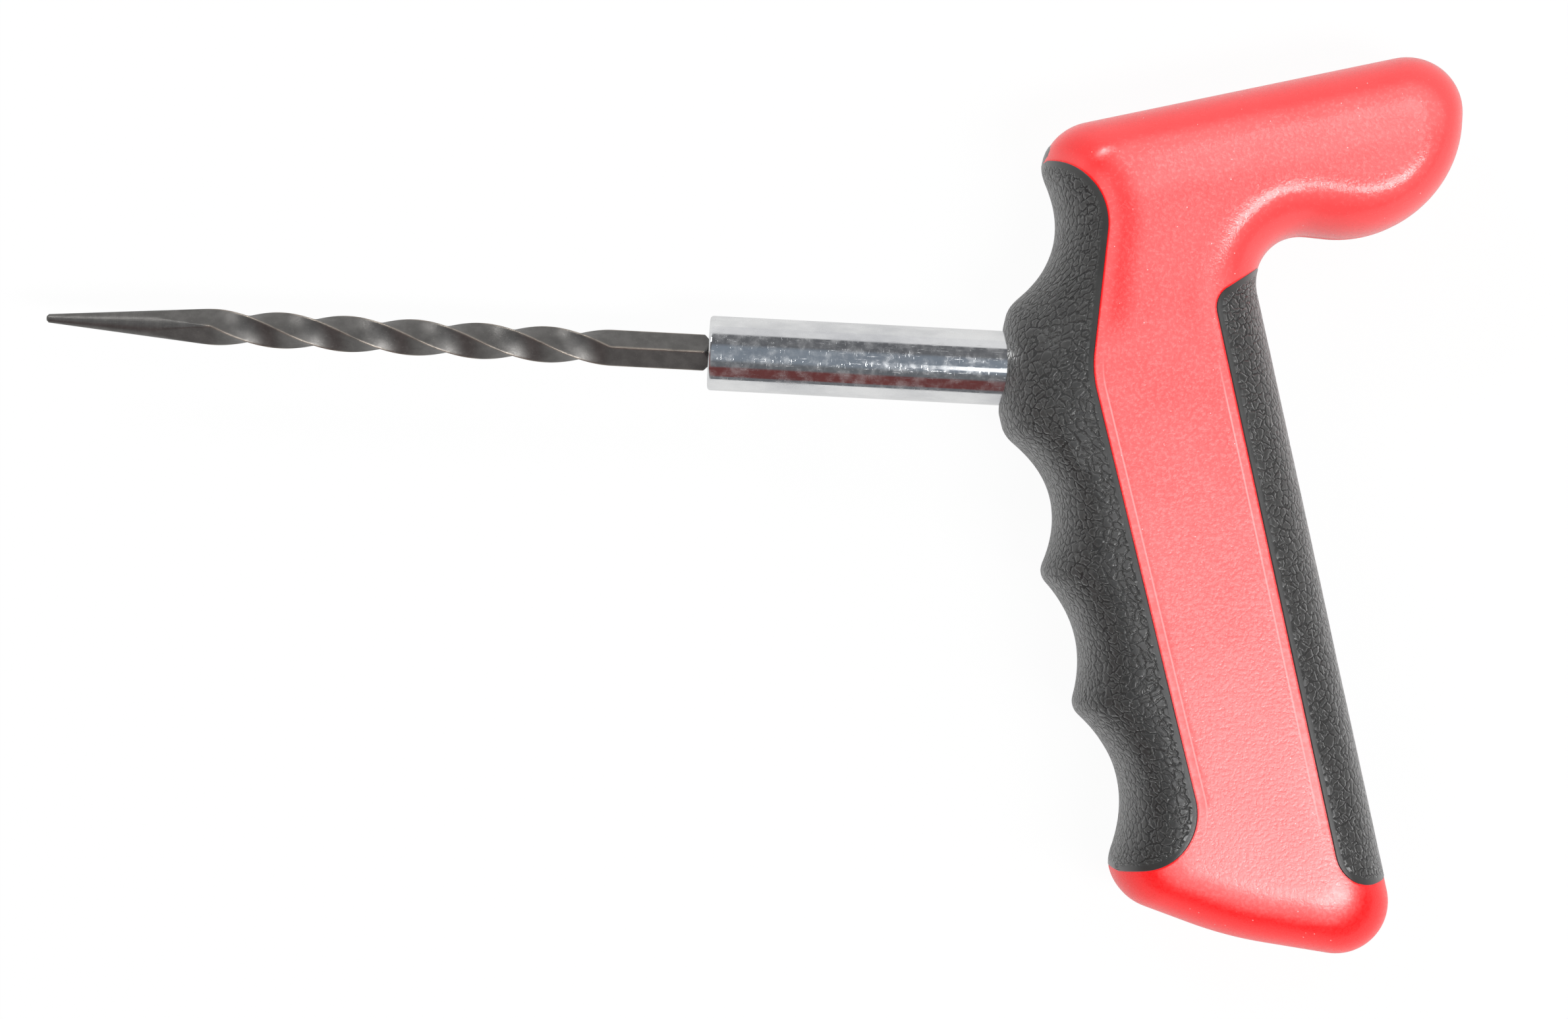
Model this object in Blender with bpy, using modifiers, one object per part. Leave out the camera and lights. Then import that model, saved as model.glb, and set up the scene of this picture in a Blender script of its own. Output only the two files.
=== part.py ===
"""Pistol-grip tire repair probe, lying on its right side.

A twisted square probe is clamped by a set screw in a chromed sleeve. The sleeve is pinned between the two
halves of a moulded handle, and a rubber front and a rubber backstrap are moulded over the halves.

Metres, +Z up. +X runs along the shaft from the probe's point to the handle, and +Y points to the horn.
The origin lies on the flat right side, under the shaft's axis, in the middle of the grip.
"""

import math
from collections import namedtuple

import bmesh
import bpy
from mathutils import Matrix, Vector

# Fits
SEAT_GAP = 0.0003  # between pieces that touch or are moulded together
BORE_GAP = 0.0002  # round the tang, the set screw and the cross pin

# Probe
BAR_FLATS = 0.0040  # across the flats of the square bar
PROBE_REACH = 0.1006  # from the sleeve's mouth to the point
SHANK_LENGTH = 0.0162  # straight square stretch next to the sleeve
TWIST_LENGTH = 0.0605
TWIST_TURNS = 1.5  # right-handed
TWIST_EASE = 0.07  # share of the twist over which it starts and ends
TAPER_LENGTH = 0.0255
POINT_RADIUS = 0.00065
POINT_ROUND = 0.0003
SHOULDER_CHAMFER = 0.0007
TANG_DIAMETER = 0.0036
TANG_LENGTH = 0.0220

# Sleeve, its set screw and its cross pin
SLEEVE_DIAMETER = 0.0113
SLEEVE_EXPOSED = 0.0445  # from the mouth to the collar of the handle
SLEEVE_BACKING = 0.0079  # from its buried end to the back of the grip
SLEEVE_BEVEL = 0.0005
BORE_END_SPACE = 0.0010  # behind the tang
SCREW_DIAMETER = 0.0050
SCREW_FROM_MOUTH = 0.0090
SCREW_SINK = 0.0002  # below the sleeve's surface
SCREW_SOCKET_FLATS = 0.0025
SCREW_SOCKET_DEPTH = 0.0018
SCREW_POINT_LENGTH = 0.0008
PIN_DIAMETER = 0.0040
PIN_COVER = 0.0042  # plastic left over each end of the pin
PIN_FROM_END = 0.0080  # from the sleeve's buried end
PIN_CHAMFER = 0.0004

# Handle outline, seen from the left side
HANDLE_THICKNESS = 0.0285
COLLAR_REACH = 0.0250  # from the origin to the collar's face
COLLAR_ABOVE = 0.0062  # flat face of the collar above the shaft's axis
COLLAR_BELOW = 0.0068
NECK_LIP = 0.0032  # from the flat face to the groove above it
COLLAR_LIP = 0.0036  # and to the first finger groove
NECK_LEAN = math.radians(10.2)
NECK_GROOVE_LENGTH = 0.0212
NECK_GROOVE_DEPTH = 0.0046
FRONT_RAKE = math.radians(16.6)
FINGER_PITCHES = (0.0215, 0.0208, 0.0240)  # from the collar down
FINGER_DEPTHS = (0.0046, 0.0033, 0.0045)
CREST_SOFTNESS = 0.0012  # half the length over which a crest is smoothed
HEEL_DROP = 0.0053  # below the last finger groove
HEEL_LENGTH = 0.0173
HEEL_SLOPE = math.radians(17.4)
BASE_SLOPE = math.radians(6.3)
BACK_REACH = 0.0164  # from the origin to the back, at the shaft's height
BACK_RAKE = math.radians(15.3)
HORN_HEIGHT = 0.0415  # top of the horn above the origin
HORN_RISE = math.radians(14.7)
HORN_REACH = 0.0423
WEB_HEIGHT = 0.0235  # underside of the horn above the origin
WEB_FALL = math.radians(3.2)
NECK_CORNER_RADIUS = 0.0080
COLLAR_CORNER_RADIUS = 0.0030
HEEL_CORNER_RADIUS = 0.0079
BASE_CROWN_RADIUS = 0.0600
BACK_CORNER_RADIUS = 0.0080
WEB_RADIUS = 0.0073
NOSE_RADIUS = 0.0184
HORN_CORNER_RADIUS = 0.0086
LEAST_RADIUS = 0.0020
FILLET_LIMIT = 0.96  # share of a side that the fillets at its two ends may take

# Width of the rounded rim, from the outline to the flat side
FRONT_ROLL = 0.0105
BACK_ROLL = 0.0090
END_ROLL = 0.0090  # horn and base
ROLL_POWER = 0.92  # 1 makes the rim elliptical, less makes it fuller

# Walls inside the handle
RUBBER_THICKNESS = 0.0022
SHELL_WALL = 0.0050
RIB_THICKNESS = 0.0026
GRIP_RIB_PITCH = 0.0130
HORN_RIB_PITCH = 0.0150
SADDLE_WALL = 0.0036  # round the sleeve
POST_DIAMETER = 0.0050
POST_HEIGHT = 0.0045
BOSS_WALL = 0.0020
PARTING_GAP = 0.0003

# Edges of the rubber
COLLAR_BAND = 0.0127  # width of the front rubber at the collar
COLLAR_EDGE_LEAN = math.radians(3.5)  # of its inner edge there
FINGER_BAND = 0.0140  # and along the fingers
FRONT_TOP_DROP = 0.0050  # its top edge below the top of the neck
FRONT_TOP_FALL = math.radians(12.0)
FRONT_BELOW_CREST = 0.0010  # its lower edge below the last finger groove
FRONT_FOOT_RISE = math.radians(10.0)
FRONT_TOP_RADIUS = 0.0101
FRONT_BEND_RADIUS = 0.0170
FRONT_FOOT_RADIUS = 0.0088
BACK_BAND = 0.0080  # width of the backstrap
BACK_TOP_DROP = 0.0066  # its upper end below the horn, along the back
BACK_FOOT_RISE = 0.0141  # its lower end above the base
BACK_TOP_RISE = math.radians(34.5)
BACK_TOP_RADIUS = 0.0035
BACK_FOOT_TILT = math.radians(15.0)
BACK_FOOT_RADIUS = 0.0054
BACK_CLEAR = 0.0030  # how far its cutter stands off the back
FRONT_CLEAR = 0.0100

# Fineness of the curves
RIM_STEPS = 5
CREST_SAMPLES = 5
CAVITY_STEPS = 3
ROUND_STEPS = 32
SHARP_ANGLE = math.radians(30)
WELD_DISTANCE = 1e-6

MID = HANDLE_THICKNESS / 2
MOUTH = -COLLAR_REACH - SLEEVE_EXPOSED
SLEEVE_END = BACK_REACH - SLEEVE_BACKING
SLEEVE_LENGTH = SLEEVE_END - MOUTH
PIN_PLACE = SLEEVE_END - PIN_FROM_END
SCREW_PLACE = MOUTH + SCREW_FROM_MOUTH
TANG_BORE = TANG_DIAMETER / 2 + BORE_GAP
PIN_LENGTH = HANDLE_THICKNESS - 2 * PIN_COVER
WALL_DEPTH = RUBBER_THICKNESS + SEAT_GAP + SHELL_WALL
BOSS_RADIUS = POST_DIAMETER / 2 + BOSS_WALL
ALONG_X = (0, math.radians(90), 0)

Side = namedtuple("Side", "point heading radius arc_steps line_steps roll grooves", defaults=(0, ()))
Groove = namedtuple("Groove", "start length depth")

# The sides of the handle's outline, anticlockwise
TOP, NECK, COLLAR, FINGERS, HEEL, BASE, BACK, WEB, NOSE = range(9)


def along(heading):
    return Vector((math.cos(heading), math.sin(heading)))


def across(heading):
    """Unit vector to the left of a heading, into an outline that runs anticlockwise."""
    return Vector((-math.sin(heading), math.cos(heading)))


def meet(point, heading, other_point, other_heading):
    """Where two lines cross."""
    side = across(other_heading)
    reach = (other_point - point).dot(side) / along(heading).dot(side)
    return point + along(heading) * reach


def corner_after(sides, here):
    """Where a side meets the next one, before its fillet."""
    side, after = sides[here], sides[(here + 1) % len(sides)]
    return meet(side.point, side.heading, after.point, after.heading)


def corner_arc(corner, heading, turn, radius, steps):
    """Points of a fillet, from one tangent point to the other."""
    spot = corner - along(heading) * (radius * math.tan(abs(turn) / 2))
    chord = 2 * radius * math.sin(abs(turn) / (2 * steps))
    points = [spot]
    for step in range(steps):
        spot = spot + along(heading + turn * (step + 0.5) / steps) * chord
        points.append(spot)
    return points


def bowl_depth(grooves, distance):
    """Depth of a row of parabolic grooves, which meet in sharp crests, at a distance along their side."""
    for groove in grooves:
        share = (distance - groove.start) / groove.length
        if 0 < share < 1:
            return groove.depth * 4 * share * (1 - share)
    return 0.0


def groove_depth(grooves, distance):
    """Depth of the same grooves with rounded crests: the mean over a short length of their side."""
    half = CREST_SAMPLES // 2
    near = [distance + CREST_SOFTNESS * step / half for step in range(-half, half + 1)]
    return sum(bowl_depth(grooves, spot) for spot in near) / len(near)


def rounded_loop(sides, insets):
    """Outline of straight sides and filleted corners, each side moved in by its inset."""
    count = len(sides)
    starts = [side.point + across(side.heading) * inset for side, inset in zip(sides, insets)]
    corners, turns, radii, reaches = [], [], [], []
    for here, side in enumerate(sides):
        after = (here + 1) % count
        turn = math.remainder(sides[after].heading - side.heading, math.tau)
        inward = math.copysign((insets[here] + insets[after]) / 2, turn)
        corners.append(meet(starts[here], side.heading, starts[after], sides[after].heading))
        turns.append(turn)
        radii.append(max(side.radius - inward, LEAST_RADIUS))
        reaches.append(radii[here] * math.tan(abs(turn) / 2))
    limits = []
    for here in range(count):
        room = (corners[here] - corners[here - 1]).length
        limits.append(min(1.0, FILLET_LIMIT * room / (reaches[here - 1] + reaches[here])))
    arcs = []
    for here, side in enumerate(sides):
        radius = radii[here] * min(limits[here], limits[(here + 1) % count])
        arcs.append(corner_arc(corners[here], side.heading, turns[here], radius, side.arc_steps))
    points = []
    for here, side in enumerate(sides):
        first, last = arcs[here - 1][-1], arcs[here][0]
        for step in range(1, side.line_steps):
            spot = first.lerp(last, step / side.line_steps)
            depth = groove_depth(side.grooves, (spot - side.point).dot(along(side.heading)))
            points.append(spot + across(side.heading) * depth)
        points += arcs[here]
    return points


def handle_sides():
    """The handle's outline, anticlockwise from the top of the horn."""
    right_angle = math.radians(90)
    collar_top = Vector((-COLLAR_REACH, COLLAR_ABOVE))
    collar_foot = Vector((-COLLAR_REACH, -COLLAR_BELOW))
    front = -right_angle + FRONT_RAKE
    heel = collar_foot + along(front) * (COLLAR_LIP + sum(FINGER_PITCHES) + HEEL_DROP)
    base = heel + along(-HEEL_SLOPE) * HEEL_LENGTH
    end_roll = min(END_ROLL, FILLET_LIMIT * (HORN_HEIGHT - WEB_HEIGHT) / 2)
    neck_groove = Groove(-NECK_LIP - NECK_GROOVE_LENGTH, NECK_GROOVE_LENGTH, NECK_GROOVE_DEPTH)
    fingers = []
    place = COLLAR_LIP
    for pitch, depth in zip(FINGER_PITCHES, FINGER_DEPTHS):
        fingers.append(Groove(place, pitch, depth))
        place += pitch
    return [
        Side(Vector((0, HORN_HEIGHT)), math.pi + HORN_RISE, NECK_CORNER_RADIUS, 5, 5, end_roll),
        Side(collar_top, -right_angle - NECK_LEAN, COLLAR_CORNER_RADIUS, 2, 9, FRONT_ROLL, (neck_groove,)),
        Side(collar_top, -right_angle, COLLAR_CORNER_RADIUS, 2, 4, FRONT_ROLL),
        Side(collar_foot, front, HEEL_CORNER_RADIUS, 4, 28, FRONT_ROLL, tuple(fingers)),
        Side(heel, -HEEL_SLOPE, BASE_CROWN_RADIUS, 2, 2, end_roll),
        Side(base, -BASE_SLOPE, BACK_CORNER_RADIUS, 6, 3, end_roll),
        Side(Vector((BACK_REACH, 0)), right_angle + BACK_RAKE, WEB_RADIUS, 6, 8, BACK_ROLL),
        Side(Vector((0, WEB_HEIGHT)), -WEB_FALL, NOSE_RADIUS, 7, 1, end_roll),
        Side(Vector((HORN_REACH, 0)), right_angle, HORN_CORNER_RADIUS, 6, 1, end_roll),
    ]


def front_rubber_sides():
    """Edge of the front rubber on the handle's side, anticlockwise, closed in front of the grip."""
    right_angle = math.radians(90)
    sides = handle_sides()
    fingers = sides[FINGERS]
    neck_front = corner_after(sides, TOP) + along(sides[NECK].heading) * FRONT_TOP_DROP
    last_crest = fingers.point + along(fingers.heading) * (COLLAR_LIP + sum(FINGER_PITCHES))
    foot = last_crest + along(fingers.heading) * FRONT_BELOW_CREST
    inner_edge = fingers.point + across(fingers.heading) * FINGER_BAND
    collar_edge = Vector((-COLLAR_REACH + COLLAR_BAND, 0))
    return [
        Side(neck_front, math.pi - FRONT_TOP_FALL, LEAST_RADIUS, 2, 1),
        Side(Vector((-COLLAR_REACH - FRONT_CLEAR, 0)), -right_angle, LEAST_RADIUS, 2, 1),
        Side(foot, FRONT_FOOT_RISE, FRONT_FOOT_RADIUS, 8, 1),
        Side(inner_edge, fingers.heading + math.pi, FRONT_BEND_RADIUS, 3, 1),
        Side(collar_edge, right_angle - COLLAR_EDGE_LEAN, FRONT_TOP_RADIUS, 6, 1),
    ]


def back_rubber_sides():
    """Edge of the backstrap, anticlockwise, closed behind the grip."""
    sides = handle_sides()
    back = sides[BACK]
    inward = across(back.heading)
    top = corner_after(sides, BACK) - along(back.heading) * BACK_TOP_DROP
    foot = corner_after(sides, BASE) + along(back.heading) * BACK_FOOT_RISE
    return [
        Side(top, math.pi + BACK_TOP_RISE, BACK_TOP_RADIUS, 5, 1),
        Side(back.point + inward * BACK_BAND, back.heading + math.pi, BACK_FOOT_RADIUS, 5, 1),
        Side(foot, BACK_FOOT_TILT, LEAST_RADIUS, 2, 1),
        Side(back.point - inward * BACK_CLEAR, back.heading, LEAST_RADIUS, 2, 1),
    ]


def clear_scene():
    for obj in list(bpy.data.objects):
        bpy.data.objects.remove(obj, do_unlink=True)


def new_collection(name):
    collection = bpy.data.collections.new(name)
    bpy.context.scene.collection.children.link(collection)
    return collection


def material(name, colour, roughness, metallic=0.0):
    made = bpy.data.materials.new(name)
    made.use_nodes = True
    shader = made.node_tree.nodes["Principled BSDF"]
    shader.inputs["Base Color"].default_value = (*colour, 1.0)
    shader.inputs["Roughness"].default_value = roughness
    shader.inputs["Metallic"].default_value = metallic
    return made


def new_object(name, bm, collection):
    mesh = bpy.data.meshes.new(name)
    bm.to_mesh(mesh)
    bm.free()
    obj = bpy.data.objects.new(name, mesh)
    collection.objects.link(obj)
    return obj


def as_cutter(obj):
    obj.hide_render = True
    obj.display_type = "WIRE"
    return obj


def boolean(obj, operation, other):
    modifier = obj.modifiers.new(f"{operation.lower()} {other.name}", "BOOLEAN")
    modifier.operation = operation
    modifier.object = other
    modifier.solver = "EXACT"


def handle_form(name, sides, insets, depth, rim_steps, collection):
    """Loft round the rim, between two flat faces that lie at a depth under the handle's sides."""
    rim = rounded_loop(sides, insets)
    plain = [side._replace(grooves=()) for side in sides]
    panel = rounded_loop(plain, [max(side.roll, inset) for side, inset in zip(sides, insets)])
    bm = bmesh.new()
    rings = []
    for step in range(-rim_steps, rim_steps + 1):
        angle = math.radians(90) * step / rim_steps
        share = math.cos(angle) ** ROLL_POWER
        height = MID + (MID - depth) * math.copysign(abs(math.sin(angle)) ** ROLL_POWER, angle)
        ring = [inner.lerp(outer, share) for inner, outer in zip(panel, rim)]
        rings.append([bm.verts.new((*spot, height)) for spot in ring])
    for low, high in zip(rings, rings[1:]):
        for here in range(len(low)):
            bm.faces.new((low[here - 1], low[here], high[here], high[here - 1]))
    bm.faces.new(reversed(rings[0]))
    bm.faces.new(rings[-1])
    form = new_object(name, bm, collection)
    form.data.shade_smooth()
    form.data.set_sharp_from_angle(angle=SHARP_ANGLE)
    return form


def handle_skin(name, inset, collection):
    """The handle's form, or the surface at an inset under it, finger grooves and all."""
    sides = handle_sides()
    return handle_form(name, sides, [inset] * len(sides), inset, RIM_STEPS, collection)


def prism(name, loop, low, high, collection):
    """Flat outline extruded from one height to another, as a mesh."""
    curve = bpy.data.curves.new(name, "CURVE")
    curve.dimensions = "2D"
    curve.fill_mode = "BOTH"
    curve.extrude = (high - low) / 2
    spline = curve.splines.new("POLY")
    spline.points.add(len(loop) - 1)
    for point, spot in zip(spline.points, loop):
        point.co = (*spot, 0, 1)
    spline.use_cyclic_u = True
    outline = bpy.data.objects.new(name, curve)
    outline.location.z = (low + high) / 2
    collection.objects.link(outline)
    bpy.context.view_layer.update()
    mesh = bpy.data.meshes.new_from_object(outline.evaluated_get(bpy.context.evaluated_depsgraph_get()))
    place = outline.matrix_world.copy()
    bpy.data.objects.remove(outline)
    bm = bmesh.new()
    bm.from_mesh(mesh)
    bmesh.ops.remove_doubles(bm, verts=bm.verts, dist=WELD_DISTANCE)
    bmesh.ops.recalc_face_normals(bm, faces=bm.faces)
    bm.to_mesh(mesh)
    bm.free()
    obj = bpy.data.objects.new(name, mesh)
    obj.matrix_world = place
    collection.objects.link(obj)
    return obj


def box(name, size, place, turn, collection):
    bm = bmesh.new()
    bmesh.ops.create_cube(bm, size=1, matrix=Matrix.Diagonal((*size, 1)))
    obj = new_object(name, bm, collection)
    obj.location = place
    obj.rotation_euler.z = turn
    return obj


def rod(name, radius, length, place, collection, turn=(0, 0, 0), sides=ROUND_STEPS):
    """Cylinder on its own Z axis, starting at its place."""
    bm = bmesh.new()
    bmesh.ops.create_cone(
        bm,
        cap_ends=True,
        segments=sides,
        radius1=radius,
        radius2=radius,
        depth=length,
        matrix=Matrix.Translation((0, 0, length / 2)),
    )
    obj = new_object(name, bm, collection)
    obj.location = place
    obj.rotation_euler = turn
    return obj


def turned(name, profile, place, turn, collection):
    """Profile of (radius, height) points, from the top down the outer side, turned about its own Z axis."""
    bm = bmesh.new()
    verts = [bm.verts.new((radius, 0, height)) for radius, height in profile]
    for first, second in zip(verts, verts[1:]):
        bm.edges.new((first, second))
    obj = new_object(name, bm, collection)
    screw = obj.modifiers.new("turn", "SCREW")
    screw.steps = ROUND_STEPS
    screw.render_steps = ROUND_STEPS
    screw.use_merge_vertices = True
    screw.merge_threshold = WELD_DISTANCE
    obj.location = place
    obj.rotation_euler = turn
    return obj


def rib_row(start, heading, first, pitch, end):
    """Ribs along a heading, from a first distance on, as far as the wall inside the end side."""
    room = (meet(start, heading, end.point, end.heading) - start).length - WALL_DEPTH - BOSS_RADIUS
    count = max(0, 1 + math.floor((room - first) / pitch))
    return [(start + along(heading) * (first + pitch * here), heading) for here in range(count)]


def rib_places():
    """Middle and heading of each rib, in the grip and in the horn."""
    sides = handle_sides()
    down = math.radians(-90) + (FRONT_RAKE + BACK_RAKE) / 2
    grip_middle = Vector(((BACK_REACH - COLLAR_REACH) / 2, 0))
    saddle_foot = SLEEVE_DIAMETER / 2 + SADDLE_WALL
    grip = rib_row(grip_middle, down, saddle_foot + GRIP_RIB_PITCH, GRIP_RIB_PITCH, sides[BASE])
    horn_middle = Vector((0, (HORN_HEIGHT + WEB_HEIGHT) / 2))
    horn = rib_row(horn_middle, HORN_RISE / 2, HORN_RIB_PITCH / 2, HORN_RIB_PITCH, sides[NOSE])
    return grip, horn


def boss_places():
    """The halves are located on posts at the outer horn rib and at every second grip rib."""
    grip, horn = rib_places()
    return [place for place, _ in horn[-1:] + grip[::2]]


def handle_cavity(collection):
    """Hollow of the handle, straight behind the grooves, less the ribs, bosses and the sleeve's saddle."""
    sides = handle_sides()
    insets = [WALL_DEPTH] * len(sides)
    for here in (NECK, COLLAR, FINGERS):
        insets[here] += max(NECK_GROOVE_DEPTH, *FINGER_DEPTHS)
    plain = [side._replace(grooves=(), line_steps=min(side.line_steps, CAVITY_STEPS)) for side in sides]
    cavity = as_cutter(handle_form("cavity", plain, insets, WALL_DEPTH, CAVITY_STEPS, collection))
    span = HORN_REACH + COLLAR_REACH
    height = 2 * HANDLE_THICKNESS
    grip, horn = rib_places()
    for count, (place, heading) in enumerate(grip + horn):
        rib = box(f"rib_{count}", (RIB_THICKNESS, span, height), (*place, MID), heading, collection)
        boolean(cavity, "DIFFERENCE", as_cutter(rib))
    for count, place in enumerate(boss_places()):
        boss = rod(f"boss_{count}", BOSS_RADIUS, height, (*place, MID - height / 2), collection)
        boolean(cavity, "DIFFERENCE", as_cutter(boss))
    saddle_length = COLLAR_REACH + SLEEVE_END + SADDLE_WALL + FRONT_CLEAR
    saddle_width = SLEEVE_DIAMETER + 2 * SADDLE_WALL
    saddle_middle = SLEEVE_END + SADDLE_WALL - saddle_length / 2
    saddle = box("saddle", (saddle_length, saddle_width, height), (saddle_middle, 0, MID), 0, collection)
    boolean(cavity, "DIFFERENCE", as_cutter(saddle))
    return cavity


def rubber_pocket(name, sides, bed, collection):
    """Space that one rubber moulding and its gap take out of the handle's form."""
    loop = rounded_loop(sides, [-SEAT_GAP] * len(sides))
    pocket = as_cutter(prism(name, loop, -MID, 3 * MID, collection))
    boolean(pocket, "DIFFERENCE", bed)
    return pocket


def rubber_grip(name, sides, core, finish, parts, cutters):
    """Rubber moulding that fills the handle's form over the core."""
    grip = handle_skin(name, 0.0, parts)
    zone = as_cutter(prism(f"{name}_zone", rounded_loop(sides, [0.0] * len(sides)), -MID, 3 * MID, cutters))
    boolean(grip, "INTERSECT", zone)
    boolean(grip, "DIFFERENCE", core)
    grip.data.materials.append(finish)
    return grip


def handle_shell(name, side, hollows, finish, parts, cutters):
    """One half of the handle: side is 1 for the left half, on top, and -1 for the right half."""
    shell = handle_skin(name, 0.0, parts)
    span = 4 * (HORN_REACH + COLLAR_REACH)
    middle = MID + side * (PARTING_GAP + HANDLE_THICKNESS) / 2
    half = box(f"{name}_half", (span, span, HANDLE_THICKNESS), (0, 0, middle), 0, cutters)
    boolean(shell, "INTERSECT", as_cutter(half))
    for hollow in hollows:
        boolean(shell, "DIFFERENCE", hollow)
    for count, place in enumerate(boss_places()):
        if side > 0:
            depth = POST_HEIGHT + SEAT_GAP
            hole = rod(f"post_hole_{count}", POST_DIAMETER / 2 + SEAT_GAP, 2 * depth, (*place, MID - depth), cutters)
            boolean(shell, "DIFFERENCE", as_cutter(hole))
        else:
            post = rod(f"post_{count}", POST_DIAMETER / 2, 2 * POST_HEIGHT, (*place, MID - POST_HEIGHT), cutters)
            boolean(shell, "UNION", as_cutter(post))
    shell.data.materials.append(finish)
    return shell


def chuck_sleeve(finish, parts, cutters):
    radius = SLEEVE_DIAMETER / 2
    bore_depth = TANG_LENGTH + BORE_END_SPACE
    profile = [
        (0, SLEEVE_LENGTH),
        (radius - SLEEVE_BEVEL, SLEEVE_LENGTH),
        (radius, SLEEVE_LENGTH - SLEEVE_BEVEL),
        (radius, SLEEVE_BEVEL),
        (radius - SLEEVE_BEVEL, 0),
        (TANG_BORE + BORE_GAP, 0),
        (TANG_BORE, BORE_GAP),
        (TANG_BORE, bore_depth),
        (0, bore_depth + TANG_BORE / 2),
    ]
    sleeve = turned("chuck_sleeve", profile, (MOUTH, 0, MID), ALONG_X, parts)
    screw_hole = rod("screw_hole", SCREW_DIAMETER / 2 + BORE_GAP, MID, (SCREW_PLACE, 0, 0), cutters)
    boolean(sleeve, "DIFFERENCE", as_cutter(screw_hole))
    pin_hole = rod("pin_hole", PIN_DIAMETER / 2 + BORE_GAP, HANDLE_THICKNESS, (PIN_PLACE, 0, 0), cutters)
    boolean(sleeve, "DIFFERENCE", as_cutter(pin_hole))
    sleeve.data.materials.append(finish)


def cross_pin(finish, parts):
    radius = PIN_DIAMETER / 2
    half = PIN_LENGTH / 2
    profile = [
        (0, half),
        (radius - PIN_CHAMFER, half),
        (radius, half - PIN_CHAMFER),
        (radius, PIN_CHAMFER - half),
        (radius - PIN_CHAMFER, -half),
        (0, -half),
    ]
    pin = turned("cross_pin", profile, (PIN_PLACE, 0, MID), (0, 0, 0), parts)
    pin.data.materials.append(finish)


def set_screw(finish, parts, cutters):
    """Grub screw on the sleeve's right side, its point on the tang and its hexagon socket outwards."""
    radius = SCREW_DIAMETER / 2
    top = SLEEVE_DIAMETER / 2 - SCREW_SINK
    tip = TANG_DIAMETER / 2 + BORE_GAP
    profile = [
        (0, top),
        (radius - PIN_CHAMFER, top),
        (radius, top - PIN_CHAMFER),
        (radius, tip + SCREW_POINT_LENGTH),
        (radius - SCREW_POINT_LENGTH, tip),
        (0, tip),
    ]
    outward = (math.radians(180), 0, 0)
    screw = turned("set_screw", profile, (SCREW_PLACE, 0, MID), outward, parts)
    socket_radius = SCREW_SOCKET_FLATS / math.sqrt(3)
    socket_place = (SCREW_PLACE, 0, MID - top + SCREW_SOCKET_DEPTH)
    socket = rod("screw_socket", socket_radius, 2 * SCREW_SOCKET_DEPTH, socket_place, cutters, outward, 6)
    boolean(screw, "DIFFERENCE", as_cutter(socket))
    screw.data.materials.append(finish)


def twist_share(share):
    """Share of the whole twist, with a soft start and end."""
    share = min(max(share, 0.0), 1.0)
    if share > 0.5:
        return 1 - twist_share(1 - share)
    if share < TWIST_EASE:
        return share * share / (2 * TWIST_EASE * (1 - TWIST_EASE))
    return (share - TWIST_EASE / 2) / (1 - TWIST_EASE)


def square_bar(name, collection):
    """Square bar on its own Z axis, from the point up to the tang's end, twisted between taper and shank."""
    length = PROBE_REACH + TANG_LENGTH
    bm = bmesh.new()
    size = Matrix.Diagonal((BAR_FLATS, BAR_FLATS, length, 1))
    place = Matrix.Translation((0, 0, (TANG_LENGTH - PROBE_REACH) / 2))
    bmesh.ops.create_cube(bm, size=1, matrix=Matrix.Rotation(math.radians(45), 4, "Z") @ place @ size)
    twist_top = -SHANK_LENGTH
    rows = round(TWIST_TURNS * ROUND_STEPS)
    for row in range(rows + 1):
        height = twist_top - TWIST_LENGTH * row / rows
        geometry = bm.verts[:] + bm.edges[:] + bm.faces[:]
        bmesh.ops.bisect_plane(bm, geom=geometry, plane_co=(0, 0, height), plane_no=(0, 0, 1))
    for normal in ((1, 1, 0), (1, -1, 0)):
        geometry = bm.verts[:] + bm.edges[:] + bm.faces[:]
        bmesh.ops.bisect_plane(bm, geom=geometry, plane_co=(0, 0, 0), plane_no=normal)
    for vert in bm.verts:
        share = twist_share((twist_top - vert.co.z) / TWIST_LENGTH)
        vert.co = Matrix.Rotation(-math.tau * TWIST_TURNS * share, 3, "Z") @ vert.co
    return new_object(name, bm, collection)


def probe(finish, parts, cutters):
    """Twisted square bar, turned to a point at one end and to a round tang with a shoulder at the other."""
    corner = BAR_FLATS / math.sqrt(2)
    clear = corner + SHOULDER_CHAMFER
    tang = TANG_DIAMETER / 2
    slope = (corner - POINT_RADIUS) / TAPER_LENGTH
    shoulder = -SEAT_GAP
    profile = [
        (0, TANG_LENGTH - BORE_GAP),
        (tang - PIN_CHAMFER, TANG_LENGTH - BORE_GAP),
        (tang, TANG_LENGTH - BORE_GAP - PIN_CHAMFER),
        (tang, shoulder),
        (corner - SHOULDER_CHAMFER, shoulder),
        (clear, shoulder - 2 * SHOULDER_CHAMFER),
        (clear, -PROBE_REACH + (clear - POINT_RADIUS) / slope),
        (POINT_RADIUS, -PROBE_REACH + POINT_ROUND),
        (POINT_RADIUS - POINT_ROUND, -PROBE_REACH),
        (0, -PROBE_REACH),
    ]
    bar = square_bar("probe", parts)
    bar.location = (MOUTH, 0, MID)
    bar.rotation_euler = ALONG_X
    envelope = as_cutter(turned("probe_turning", profile, (MOUTH, 0, MID), ALONG_X, cutters))
    boolean(bar, "INTERSECT", envelope)
    bar.data.materials.append(finish)


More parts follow.
